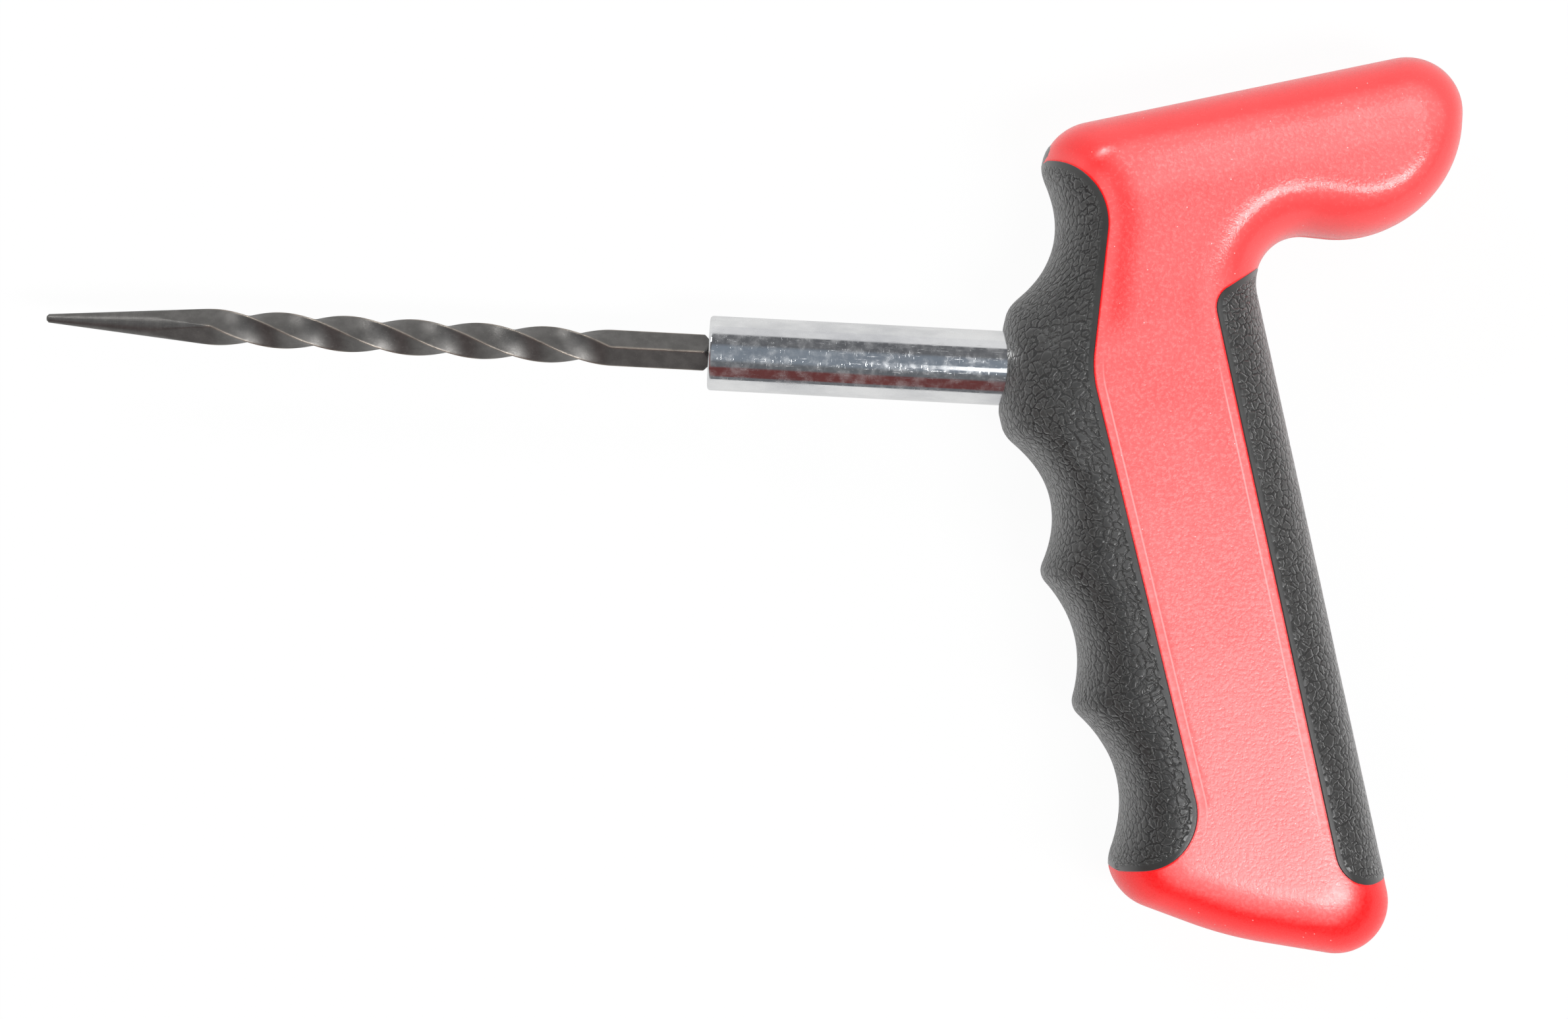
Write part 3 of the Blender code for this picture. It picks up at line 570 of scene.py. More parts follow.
def inside_run(points, values):
    """Longest stretch of a closed loop whose values are negative, ended where they cross zero."""
    count = len(points)
    best = []
    for here in range(count):
        if values[here] < 0 <= values[here - 1]:
            before = here - 1
            share = values[before] / (values[before] - values[here])
            stretch = [points[before] + (points[here] - points[before]) * share]
            while values[here % count] < 0:
                stretch.append(points[here % count])
                here += 1
            last, after = (here - 1) % count, here % count
            share = values[last] / (values[last] - values[after])
            stretch.append(points[last] + (points[after] - points[last]) * share)
            if len(stretch) > len(best):
                best = stretch
    return np.array(best)


def rim_ring(rim, panel, angle, inset=0.0):
    """Ring of the handle's rounded rim, from the middle plane at 0 to the flat side at a right angle."""
    share = math.cos(angle) ** SOFT_POWER
    height = MID + (MID - inset) * math.sin(angle) ** ROLL_POWER
    return np.column_stack([panel + (rim - panel) * share, np.full(len(rim), height)])


def handle_loops(inset):
    """Outline of the rim at its widest and of the flat side, at an inset under the handle's skin."""
    sides = handle_sides()
    plain = [side._replace(grooves=()) for side in sides]
    rim = rounded_loop(sides, [inset] * len(sides))
    panel = rounded_loop(plain, [max(side.roll, inset) for side in sides])
    return rim, panel


def strip_faces(rows, columns, closed):
    """Quads of a grid, row after row; a closed grid joins its last column to the first."""
    faces = []
    for row in range(rows - 1):
        for column in range(columns if closed else columns - 1):
            after = (column + 1) % columns
            low, high = row * columns, (row + 1) * columns
            faces.append((low + column, low + after, high + after, high + column))
    return faces


def rod_faces(rows, steps):
    """Faces of a rod of rings with flat ends."""
    last = (rows - 1) * steps
    return strip_faces(rows, steps, True) + [tuple(range(steps)), tuple(range(last, last + steps))]


def handle_form():
    """Left half of the handle's skin, as its loops and a tree that heights are read from."""
    rim, panel = handle_loops(0.0)
    rings = [rim_ring(rim, panel, math.radians(90) * step / FORM_STEPS) for step in range(FORM_STEPS + 1)]
    faces = strip_faces(len(rings), len(rim), True)
    faces.append(tuple(range(FORM_STEPS * len(rim), (FORM_STEPS + 1) * len(rim))))
    tree = BVHTree.FromPolygons(np.vstack(rings).tolist(), faces)
    return Form(rim, panel, tree)


def form_heights(form, spots):
    """Height of the left half's skin over each spot."""
    down = Vector((0, 0, -1))
    heights = np.full(len(spots), MID)
    for here, (x, y) in enumerate(spots):
        hit = form.tree.ray_cast(Vector((x, y, 1.0)), down)[0]
        if hit:
            heights[here] = hit.z
    return heights


def linked(name, data):
    """Object for a mesh, a lamp or a camera, put into the scene."""
    obj = bpy.data.objects.new(name, data)
    bpy.context.scene.collection.objects.link(obj)
    return obj


def new_object(name, verts, faces, attributes=None):
    """Mesh object with smooth faces that look outwards, and numbers or vectors on its points."""
    mesh = bpy.data.meshes.new(name)
    mesh.from_pydata(np.asarray(verts).tolist(), [], faces)
    bm = bmesh.new()
    bm.from_mesh(mesh)
    bmesh.ops.recalc_face_normals(bm, faces=bm.faces)
    bm.to_mesh(mesh)
    bm.free()
    mesh.shade_smooth()
    mesh.set_sharp_from_angle(angle=SHARP_ANGLE)
    for word, values in (attributes or {}).items():
        values = np.asarray(values, np.float32)
        kind, part = ("FLOAT", "value") if values.ndim == 1 else ("FLOAT_VECTOR", "vector")
        layer = mesh.attributes.new(word, kind, "POINT")
        layer.data.foreach_set(part, values.ravel())
    return linked(name, mesh)


def finished(obj, material, body, node):
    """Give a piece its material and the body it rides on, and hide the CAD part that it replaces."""
    obj.data.materials.clear()
    obj.data.materials.append(material)
    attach(obj, body)
    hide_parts(node)


def line_runs(loop, fence):
    """Stretches of a loop that lie well inside a fence."""
    spots = resampled(loop, LINE_SPACING)
    inside = signed_distance(spots, fence) < -LINE_SPACING / 2
    if inside.all():
        return [spots]
    first = int(np.argmin(inside))
    spots, inside = np.roll(spots, -first, axis=0), np.roll(inside, -first)
    runs, run = [], []
    for spot, kept in zip(spots, inside):
        if kept:
            run.append(spot)
        elif run:
            runs.append(np.array(run))
            run = []
    if run:
        runs.append(np.array(run))
    return [run for run in runs if len(run) > 1]


def spot_tree(spots):
    """Tree that finds the nearest of some spots."""
    tree = KDTree(len(spots))
    for here, spot in enumerate(spots):
        tree.insert(spot, here)
    tree.balance()
    return tree


def panel_triangles(fence, lines):
    """Triangles that fill a flat fence, with edges along the lines and spots on a grid between them."""
    coords = [Vector(spot) for spot in fence]
    edges = [(here, (here + 1) % len(fence)) for here in range(len(fence))]
    for line in lines:
        first = len(coords)
        coords += [Vector(spot) for spot in line]
        edges += [(first + here, first + here + 1) for here in range(len(line) - 1)]
    taken = spot_tree([(*spot, 0) for spot in coords])
    low, high = fence.min(axis=0), fence.max(axis=0)
    rows = np.arange(low[1], high[1], PANEL_SPACING * math.sqrt(3) / 2)
    grid = []
    for count, y in enumerate(rows):
        shift = PANEL_SPACING / 2 * (count % 2)
        grid += [(x + shift, y) for x in np.arange(low[0], high[0], PANEL_SPACING)]
    grid = np.array(grid)
    grid = grid[signed_distance(grid, fence) < 0]
    for x, y in grid:
        if taken.find((x, y, 0))[2] > PANEL_SPACING / 2:
            coords.append(Vector((x, y)))
    made = delaunay_2d_cdt(coords, edges, [], 1, 1e-9)
    return np.array([tuple(spot) for spot in made[0]]), made[2], made[3]


def border_span(spots):
    """How much of the border beside the rubber is left at each spot: none near the ends of the rubber."""
    return smooth(*BORDER_LOW, spots[:, 1]) * smooth(*BORDER_HIGH, spots[:, 1])


def near_side(fade, heights):
    """How near each height is to the flat side: from 0 to 1 between two depths under it."""
    return smooth(SIDE_TOP - fade[0], SIDE_TOP - fade[1], heights)


def edge_gaps(spots):
    """Distance of each spot from the nearest edge of the rubber, negative under it."""
    zones = (front_rubber_sides(), back_rubber_sides())
    return np.minimum(*[signed_distance(spots, zone_loop(sides)) for sides in zones])


def sunk_share(step, gaps):
    """How much of its sinking under the rubber the plastic has done, from 0 to 1, over a step."""
    return smooth(-step[0], -step[1], gaps)


def shell_rings(form, plastic):
    """Rings of the steep part of the red rim, from the seam upwards, sunk under the rubber."""
    deep_rim, deep_panel = handle_loops(SINK_DEPTH)
    rings = []
    for step in range(RIM_STEPS + 1):
        angle = RIM_END * step / RIM_STEPS
        level = rim_ring(form.rim, form.panel, angle)
        sunk = rim_ring(deep_rim, deep_panel, angle, SINK_DEPTH)
        weight = sunk_share(RIM_STEP, edge_gaps(level[:, :2]))
        if not step:
            weight = np.maximum(weight, plastic.seam_depth / SINK_DEPTH)
            level[:, 2] = sunk[:, 2] = MID + plastic.seam_gap / 2
        rings.append(level + (sunk - level) * weight[:, None])
    return rings


def shell_heights(form, spots, fence, plastic):
    """Height of the red side over each spot, lowered along the border and sunk under the rubber."""
    gaps = edge_gaps(spots)
    heights = form_heights(form, spots)
    flat = near_side(BORDER_FADE, heights) * border_span(spots)
    past_border = smooth(plastic.border, plastic.border + plastic.border_slope, gaps)
    heights -= plastic.border_depth * flat * (1 - past_border)
    by_rim = smooth(*RIM_BLEND, signed_distance(spots, fence))
    sharp = sunk_share(JOINT_STEP, gaps)
    return heights - SINK_DEPTH * (sharp + (sunk_share(RIM_STEP, gaps) - sharp) * by_rim)


def shell(name, side, form, plastic):
    """Red half of the handle, with side 1 for the left and -1 for the right."""
    rings = shell_rings(form, plastic)
    fence = rings[-1][:, :2]
    joint, joint_end = JOINT_STEP
    lines = []
    for sides in (front_rubber_sides(), back_rubber_sides()):
        for grow in (-joint, -joint_end, plastic.border, plastic.border + plastic.border_slope):
            lines += line_runs(zone_loop(sides, grow), fence)
    spots, triangles, origins = panel_triangles(fence, lines)
    heights = shell_heights(form, spots, fence, plastic)
    count = len(fence)
    places, inner = [], []
    for spot, height, origin in zip(spots, heights, origins):
        on_fence = [index for index in origin if index < count]
        if on_fence:
            places.append(RIM_STEPS * count + on_fence[0])
        else:
            places.append((RIM_STEPS + 1) * count + len(inner))
            inner.append((*spot, height))
    verts = np.vstack(rings + [np.array(inner)])
    faces = strip_faces(RIM_STEPS + 1, count, True)
    faces += [tuple(places[corner] for corner in face) for face in triangles]
    faces.append(tuple(range(count)))
    attributes = {
        "joint": edge_gaps(verts[:, :2]),
        "span": border_span(verts),
        "flat": near_side(PALE_FADE, verts[:, 2]),
    }
    if side < 0:
        verts[:, 2] = 2 * MID - verts[:, 2]
    return new_object(name, verts, faces, attributes)


def paced(points, guide, side_weight):
    """Share of the way along a line, with steps across the guide counted for less."""
    steps = np.diff(points, axis=0)
    onward = np.abs(steps @ guide)
    sideways = np.abs(steps @ np.array([-guide[1], guide[0]]))
    pace = np.concatenate([[0], np.cumsum(onward + side_weight * sideways)])
    return pace / pace[-1]


def at_pace(points, pace, shares):
    return np.column_stack([np.interp(shares, pace, points[:, axis]) for axis in (0, 1)])


def rubber_rows(form, sides, rows, half_columns):
    """Grid of spots on a rubber zone, each row from its right edge over the rim to its left edge."""
    edge = resampled(zone_loop(sides), LINE_SPACING / 4)
    outer = inside_run(form.rim, signed_distance(form.rim, edge))
    inner = inside_run(edge, signed_distance(edge, form.rim))[::-1]
    guide = (outer[-1] - outer[0]) / np.linalg.norm(outer[-1] - outer[0])
    shares = np.linspace(*RUBBER_ENDS, rows)
    outer = at_pace(outer, paced(outer, guide, RUBBER_PACE), shares)
    inner = at_pace(inner, paced(inner, guide, RUBBER_PACE), shares)
    steps = (np.arange(PATCH_SAMPLES + 1) / PATCH_SAMPLES) ** PATCH_POWER
    grid = []
    for start, end in zip(outer, inner):
        spots = start + (end - start) * steps[:, None]
        heights = form_heights(form, spots)
        heights[0] = MID
        heights = np.maximum.accumulate(heights)
        path = np.column_stack([spots, heights])
        reach = np.concatenate([[0], np.cumsum(np.linalg.norm(np.diff(path, axis=0), axis=1))])
        places = np.linspace(0, reach[-1], half_columns + 1)
        left = np.column_stack([np.interp(places, reach, path[:, axis]) for axis in range(3)])
        right = left[:0:-1] * (1, 1, -1) + (0, 0, 2 * MID)
        grid.append(np.vstack([right, left]))
    return np.array(grid)


def grid_normals(grid):
    """Outward normals of a grid of spots."""
    normals = np.cross(np.gradient(grid, axis=1), np.gradient(grid, axis=0))
    return normals / np.maximum(np.linalg.norm(normals, axis=2, keepdims=True), 1e-12)


def skin_places(grid):
    """Place of each spot of a grid on its own skin: metres along it and across it from the middle."""
    places = np.zeros(grid.shape)
    for axis in (0, 1):
        steps = np.linalg.norm(np.diff(grid, axis=axis), axis=2)
        reach = np.insert(np.cumsum(steps, axis=axis), 0, 0, axis=axis)
        places[:, :, axis] = reach - np.take(reach, [grid.shape[axis] // 2], axis=axis)
    return places.reshape(-1, 3)


def leather_creases(spots, cell):
    """How deep each spot lies in a crease of the leather grain, from 0 on a cell to 1."""
    cracks, breaks = [], []
    for spot in spots:
        place = Vector(spot) / cell
        bent = place
        for waves, reach in CREASE_BENDS:
            bent = bent + noise.noise_vector(place * waves) * reach
        near = noise.voronoi(bent)[0]
        cracks.append(near[1] - near[0])
        breaks.append(noise.noise(place * CREASE_BREAKS))
    breaks = np.array(breaks)
    width = CREASE_WIDTH[0] + CREASE_WIDTH[1] * breaks
    crease = 1 - smooth(0.0, 1.0, np.array(cracks) / width)
    return crease * (CREASE_LEAST + (1 - CREASE_LEAST) * smooth(*CREASE_SHALLOW, breaks))


def tab_points(middle, onward, outward, size):
    """Rounded tab of rubber round a spot, as rings of points from its foot to its tip."""
    sideways = np.cross(onward, outward)
    turns = math.tau * np.arange(TAB_STEPS) / TAB_STEPS
    rings = []
    for rise in np.radians(np.linspace(-TAB_END, TAB_END, TAB_RINGS)):
        share = math.cos(rise)
        centre = middle + onward * size[0] * math.sin(rise)
        thick = np.outer(np.cos(turns), outward * size[1] * share)
        wide = np.outer(np.sin(turns), sideways * size[2] * share)
        rings.append(centre + thick + wide)
    return np.vstack(rings)


def rubber_tab(form, end, size):
    """Points and faces of a tab that reaches along the rim from the end of a grip."""
    nearest = np.linalg.norm(form.rim - end[:2], axis=1).argmin()
    onward = np.append(form.rim[nearest - TAB_AIM] - end[:2], 0)
    onward /= np.linalg.norm(onward)
    outward = np.array([-onward[1], onward[0], 0])
    middle = end + onward * size[0] * TAB_REACH - outward * size[1] * TAB_SINK
    return tab_points(middle, onward, outward, size), rod_faces(TAB_RINGS, TAB_STEPS)


def shifted(faces, first):
    """Faces of a mesh that is put behind the first points of another one."""
    return [tuple(first + corner for corner in face) for face in faces]


def grip_faces(rows, columns, back_columns):
    """Faces of a grip: its skin, its back, whose points follow the skin's, and the walls between the two."""
    first = rows * columns
    back = [face[::-1] for face in strip_faces(rows, back_columns, False)]
    faces = strip_faces(rows, columns, False) + shifted(back, first)
    for row in range(rows - 1):
        for outer, inner in ((0, 0), (columns - 1, back_columns - 1)):
            here, after = row * columns + outer, (row + 1) * columns + outer
            under = first + row * back_columns + inner
            faces.append((here, after, under + back_columns, under))
    for row in (0, rows - 1):
        outer = [row * columns + column for column in range(columns)]
        inner = [first + row * back_columns + column for column in range(back_columns)]
        faces.append(tuple(outer + inner[::-1]))
    return faces


def grip(name, form, sides, fineness, rubber, tab=()):
    """Rubber moulding with a smooth rounded border, a grained face, a closed back and, on request, a tab."""
    rows, half_columns = fineness
    grid = rubber_rows(form, sides, rows, half_columns)
    normals = grid_normals(grid)
    flat = grid.reshape(-1, 3)
    if ((grid[:, half_columns] - flat.mean(axis=0)) * normals[:, half_columns]).sum() < 0:
        normals = -normals
    columns = 2 * half_columns + 1
    edge = spot_tree(np.concatenate([grid[:, 0], grid[:, -1], grid[0], grid[-1]]))
    inward = np.array([edge.find(spot)[2] for spot in flat])
    grained = smooth(rubber.border * GRAIN_START[0], rubber.border * GRAIN_START[1], inward)
    crease = leather_creases(flat, rubber.cell) * grained
    swell = np.array([noise.noise(Vector(spot) / SWELL_WIDTH) for spot in flat]) * grained
    rounding = np.clip(1 - inward / rubber.edge_radius, 0, 1)
    drop = rubber.edge_radius * (1 - np.sqrt(1 - rounding**2))
    lift = rubber.proud - drop - rubber.cell_depth * crease + SWELL_DEPTH * swell
    skin = flat + normals.reshape(-1, 3) * lift[:, None]
    kept = np.linspace(0, columns - 1, RUBBER_BACK_COLUMNS).round().astype(int)
    back = grid[:, kept] - normals[:, kept] * RUBBER_DEPTH
    verts = np.vstack([skin, back.reshape(-1, 3)])
    faces = grip_faces(rows, columns, len(kept))
    if tab:
        end = max(grid[0, half_columns], grid[-1, half_columns], key=lambda spot: spot[1])
        points, tab_faces = rubber_tab(form, end, tab)
        faces += shifted(tab_faces, len(verts))
        verts = np.vstack([verts, points])
    unseen = len(verts) - len(skin)
    steep = smooth(*STEEP_SLOPE, np.abs(normals[:, :, 2].ravel()))
    attributes = {
        "grained": np.concatenate([grained, np.zeros(unseen)]),
        "steep": np.concatenate([steep, np.zeros(unseen)]),
        "skin": np.vstack([skin_places(grid), np.zeros((unseen, 3))]),
    }
    return new_object(name, verts, faces, attributes)


def turned(name, profile, steps, place, turn):
    """Profile of (radius, height) points turned about its own Z axis."""
    mesh = bpy.data.meshes.new(name)
    edges = [(here, here + 1) for here in range(len(profile) - 1)]
    mesh.from_pydata([(radius, 0, height) for radius, height in profile], edges, [])
    obj = linked(name, mesh)
    screw = obj.modifiers.new("turn", "SCREW")
    screw.steps = steps
    screw.render_steps = steps
    screw.use_merge_vertices = True
    screw.merge_threshold = WELD_DISTANCE
    obj.location = place
    obj.rotation_euler = turn
    return obj


def cut(obj, cutters):
    """Take the cutters out of a piece, put its shape and place into its mesh, and delete the cutters."""
    for cutter in cutters:
        modifier = obj.modifiers.new(f"cut {cutter.name}", "BOOLEAN")
        modifier.operation = "DIFFERENCE"
        modifier.object = cutter
        modifier.solver = "EXACT"
    bpy.context.view_layer.update()
    graph = bpy.context.evaluated_depsgraph_get()
    mesh = bpy.data.meshes.new_from_object(obj.evaluated_get(graph))
    mesh.transform(obj.matrix_world)
    obj.modifiers.clear()
    obj.data = mesh
    obj.matrix_world = Matrix.Identity(4)
    mesh.shade_smooth()
    mesh.set_sharp_from_angle(angle=SHARP_ANGLE)
    for cutter in cutters:
        bpy.data.objects.remove(cutter)
    if not mesh.polygons:
        raise RuntimeError(f"{obj.name} came out empty")
    return obj


def hexagon_rod(name, flats, low, high, place):
    """Upright hexagonal rod between two heights."""
    corners = [along(math.radians(60 * here)) * flats / math.sqrt(3) for here in range(6)]
    verts = [(place[0] + corner.x, place[1] + corner.y, z) for z in (low, high) for corner in corners]
    return new_object(name, verts, rod_faces(2, 6))


def sleeve_piece():
    """Turned sleeve with rounded bevels, its bore, and the hole for the set screw with a broken edge."""
    length = SLEEVE_HIGH.x - SLEEVE_LOW.x
    radius = SLEEVE_RADIUS
    bevel = SLEEVE_BEVEL
    round_off = []
    for turn in np.radians(np.linspace(*BEVEL_ANGLES, BEVEL_STEPS)):
        round_off.append((radius - bevel * (1 - math.sin(turn)), bevel * (1 - math.cos(turn))))
    outside = [(radius, float(x)) for x in np.linspace(bevel, length - bevel, SLEEVE_ROWS)]
    profile = [(0, length), (radius - bevel, length)]
    profile += [(spot, length - height) for spot, height in round_off]
    profile += outside[::-1]
    profile += round_off[::-1]
    profile += [(radius - bevel, 0), (BORE_RADIUS + BORE_LIP, 0), (BORE_RADIUS, BORE_LIP)]
    profile += [(BORE_RADIUS, BORE_DEPTH), (0, BORE_DEPTH + BORE_RADIUS / 2)]
    sleeve = turned("chromed_sleeve", profile, ROUND_STEPS, (MOUTH, 0, MID), (0, math.radians(90), 0))
    hole = SCREW_HOLE_RADIUS
    wall = MID - SLEEVE_RADIUS
    flare = [(0, MID), (hole, MID), (hole, wall + FLARE_DEPTH)]
    flare += [(hole + FLARE_WIDTH, wall - FLARE_CLEAR), (0, wall - FLARE_CLEAR)]
    cutter = turned("screw_hole", flare, ROUND_STEPS // 2, (SCREW_PLACE, 0, 0), (0, 0, 0))
    return cut(sleeve, [cutter])


def screw_piece(metal):
    """Grub screw with a thread, a chamfered face with a hexagon socket, and a cone point."""
    radius = (SCREW_HIGH.x - SCREW_LOW.x) / 2
    low, high = SCREW_LOW.z, SCREW_HIGH.z
    turns = np.arange(SCREW_STEPS) / SCREW_STEPS
    angles = math.tau * turns
    rows = []
    for z in np.linspace(low, high, SCREW_ROWS):
        phase = (turns + (z - low) / metal.thread_pitch) % 1.0
        cut_in = np.clip(np.abs(2 * phase - 1) * THREAD_SLOPE - THREAD_CREST, 0, 1)
        limit = min(radius - SCREW_CHAMFER + (z - low), radius - SCREW_POINT + (high - z))
        reach = np.minimum(radius - metal.thread_depth * cut_in, limit)
        ring = [SCREW_PLACE + reach * np.cos(angles), reach * np.sin(angles), np.full(SCREW_STEPS, z)]
        rows.append(np.column_stack(ring))
    screw = new_object("grub_screw", np.vstack(rows), rod_faces(SCREW_ROWS, SCREW_STEPS))
    socket = hexagon_rod("socket", SOCKET_FLATS, low - SOCKET_DEPTH, low + SOCKET_DEPTH, (SCREW_PLACE, 0))
    cone = [(SOCKET_FLATS * share, height) for share, height in SOCKET_MOUTH]
    cone = [(0, cone[0][1]), *cone, (0, cone[-1][1])]
    mouth = turned("socket_mouth", cone, SOCKET_STEPS, (SCREW_PLACE, 0, low), (0, 0, 0))
    return cut(screw, [socket, mouth])


def twist_share(share):
    """Share of the whole twist, with a soft start and end."""
    share = min(max(share, 0.0), 1.0)
    if share > 0.5:
        return 1 - twist_share(1 - share)
    if share < TWIST_EASE:
        return share * share / (2 * TWIST_EASE * (1 - TWIST_EASE))
    return (share - TWIST_EASE / 2) / (1 - TWIST_EASE)


def soft_least(first, second, softness):
    """Smaller of two radii, with a soft change from one to the other."""
    share = np.clip(0.5 + 0.5 * (second - first) / softness, 0, 1)
    return second * (1 - share) + first * share - softness * share * (1 - share)


def probe_piece(metal):
    """Square bar, twisted between its shank and its turned point, with a round tang behind the shoulder."""
    reach = MOUTH - PROBE_LOW.x
    tang_end = PROBE_HIGH.x - MOUTH
    half = BAR_FLATS / 2
    corner = half * math.sqrt(2)
    eighth = math.radians(45)
    quarter = eighth * np.sin(np.radians(90) * np.linspace(-1, 1, BAR_STEPS)[:-1])
    angles = np.concatenate([quarter + math.radians(90 * here) for here in range(4)])
    power = metal.bar_edge
    square = half / (np.abs(np.cos(angles)) ** power + np.abs(np.sin(angles)) ** power) ** (1 / power)
    slope = (corner - POINT_RADIUS) / TAPER_LENGTH
    fine = TAPER_LENGTH * TAPER_FINE
    chamfer = SHOULDER_GAP + 2 * SHOULDER_CHAMFER
    places = np.concatenate([
        reach - np.linspace(0, POINT_ROUND, 4),
        reach - np.linspace(POINT_ROUND, fine, TAPER_ROWS)[1:],
        np.linspace(reach - fine, SHANK_LENGTH, TWIST_ROWS)[1:],
        np.linspace(SHANK_LENGTH, chamfer, SHANK_ROWS)[1:],
        np.linspace(chamfer, SHOULDER_GAP, SHOULDER_ROWS)[1:],
    ])
    rows, edge_wear, turning = [], [], []

    def add_row(place, radii, wear, turned_share):
        twist = math.tau * TWIST_TURNS * twist_share((place - SHANK_LENGTH) / TWIST_LENGTH)
        turn = angles + eighth - twist
        ring = [np.full(len(angles), MOUTH - place), radii * np.sin(turn), MID - radii * np.cos(turn)]
        rows.append(np.column_stack(ring))
        edge_wear.append(wear)
        turning.append(turned_share)

    sharpness = smooth(half * WEAR_ZONE[0], corner * WEAR_ZONE[1], square)
    for place in places:
        from_point = reach - place
        cone = POINT_RADIUS + (from_point - POINT_ROUND) * slope
        cone = min(cone, POINT_RADIUS - POINT_ROUND + from_point)
        shoulder = corner - SHOULDER_CHAMFER + (place - SHOULDER_GAP)
        limit = np.full(len(angles), min(cone, shoulder))
        radii = soft_least(square, limit, TURNED_SOFTNESS)
        turned_share = smooth(-TURNED_SOFTNESS / 2, TURNED_SOFTNESS / 2, square - limit)
        add_row(place, radii, sharpness * (1 - turned_share), turned_share)
    everywhere = np.ones(len(angles))
    for place, radius in (
        (SHOULDER_GAP, TANG_RADIUS),
        (SHOULDER_GAP - TANG_STEP, TANG_RADIUS),
        (TANG_CHAMFER - tang_end, TANG_RADIUS),
        (-tang_end, TANG_RADIUS - TANG_CHAMFER),
    ):
        add_row(place, everywhere * radius, everywhere * 0, everywhere)
    attributes = {"worn": np.concatenate(edge_wear), "turned": np.concatenate(turning)}
    return new_object("twisted_probe", np.vstack(rows), rod_faces(len(rows), len(angles)), attributes)


class NodeBench:
    """Adds linked shader nodes to one material or world."""

    def __init__(self, owner):
        owner.use_nodes = True
        self.tree = owner.node_tree
        self.tree.nodes.clear()

    def add(self, kind, sockets=None, **settings):
        made = self.tree.nodes.new(kind)
        for word, value in settings.items():
            setattr(made, word, value)
        for word, value in (sockets or {}).items():
            if isinstance(value, bpy.types.NodeSocket):
                self.tree.links.new(value, made.inputs[word])
            else:
                made.inputs[word].default_value = value
        return made

    def place(self, scale=(1, 1, 1), turn=(0, 0, 0)):
        """Place on the piece, stretched for a pattern that runs one way."""
        spot = self.add("ShaderNodeTexCoord").outputs["Object"]
        sockets = {"Vector": spot, "Scale": scale, "Rotation": turn}
        return self.add("ShaderNodeMapping", sockets).outputs["Vector"]

    def noise(self, place, width, detail=2.0, roughness=0.5):
        """Soft noise whose spots are about a width across."""
        sockets = {"Vector": place, "Scale": 1 / width, "Detail": detail, "Roughness": roughness}
        return self.add("ShaderNodeTexNoise", sockets).outputs["Fac"]

    def specks(self, place, spacing, size, share):
        """Sparse round specks: 1 inside them and 0 elsewhere."""
        cells = self.add("ShaderNodeTexVoronoi", {"Vector": place, "Scale": 1 / spacing})
        dot = self.ramp(cells.outputs["Distance"], size / spacing, 0.6 * size / spacing)
        chance = self.add("ShaderNodeSeparateColor", {"Color": cells.outputs["Color"]}).outputs["Red"]
        return self.times(dot, self.math("LESS_THAN", chance, share))

    def attribute(self, word, part="Fac"):
        return self.add("ShaderNodeAttribute", attribute_type="GEOMETRY", attribute_name=word).outputs[part]

    def ramp(self, value, low, high, to_low=0.0, to_high=1.0):
        sockets = {"Value": value, "From Min": low, "From Max": high, "To Min": to_low, "To Max": to_high}
        return self.add("ShaderNodeMapRange", sockets, interpolation_type="SMOOTHSTEP").outputs["Result"]

    def axis(self, place, word):
        return self.add("ShaderNodeSeparateXYZ", {"Vector": place}).outputs[word]

    def math(self, operation, first, *others):
        """The operation on the first value and each of the others in turn."""
        for other in others:
            first = self.add("ShaderNodeMath", {0: first, 1: other}, operation=operation).outputs["Value"]
        return first

    def times(self, *values):
        return self.math("MULTIPLY", *values)

    def plus(self, *values):
        return self.math("ADD", *values)

    def blend(self, share, first, second):
        """Colour from first to second; either is a colour of three numbers or a socket."""
        sockets = {0: share}
        for index, colour in ((6, first), (7, second)):
            sockets[index] = colour if isinstance(colour, bpy.types.NodeSocket) else (*colour, 1.0)
        return self.add("ShaderNodeMix", sockets, data_type="RGBA").outputs[2]

    def coats(self, body, *coats):
        """Colour with coats over it, each a share and a colour."""
        for share, colour in coats:
            body = self.blend(share, body, colour)
        return body

    def bump(self, height, depth, strength=1.0, under=None):
        sockets = {"Height": height, "Distance": depth, "Strength": strength}
        if under:
            sockets["Normal"] = under
        return self.add("ShaderNodeBump", sockets).outputs["Normal"]

    def surface(self, **sockets):
        """Principled surface; words stand for its sockets, with _ for a space."""
        named = {word.replace("_", " "): value for word, value in sockets.items()}
        shader = self.add("ShaderNodeBsdfPrincipled", named)
        self.add("ShaderNodeOutputMaterial", {"Surface": shader.outputs["BSDF"]})


def tinted(colour, factor):
    return tuple(min(1.0, part * factor) for part in colour)


def new_material(name):
    """Material and the bench for its nodes."""
    material = bpy.data.materials.new(name)
    return material, NodeBench(material)


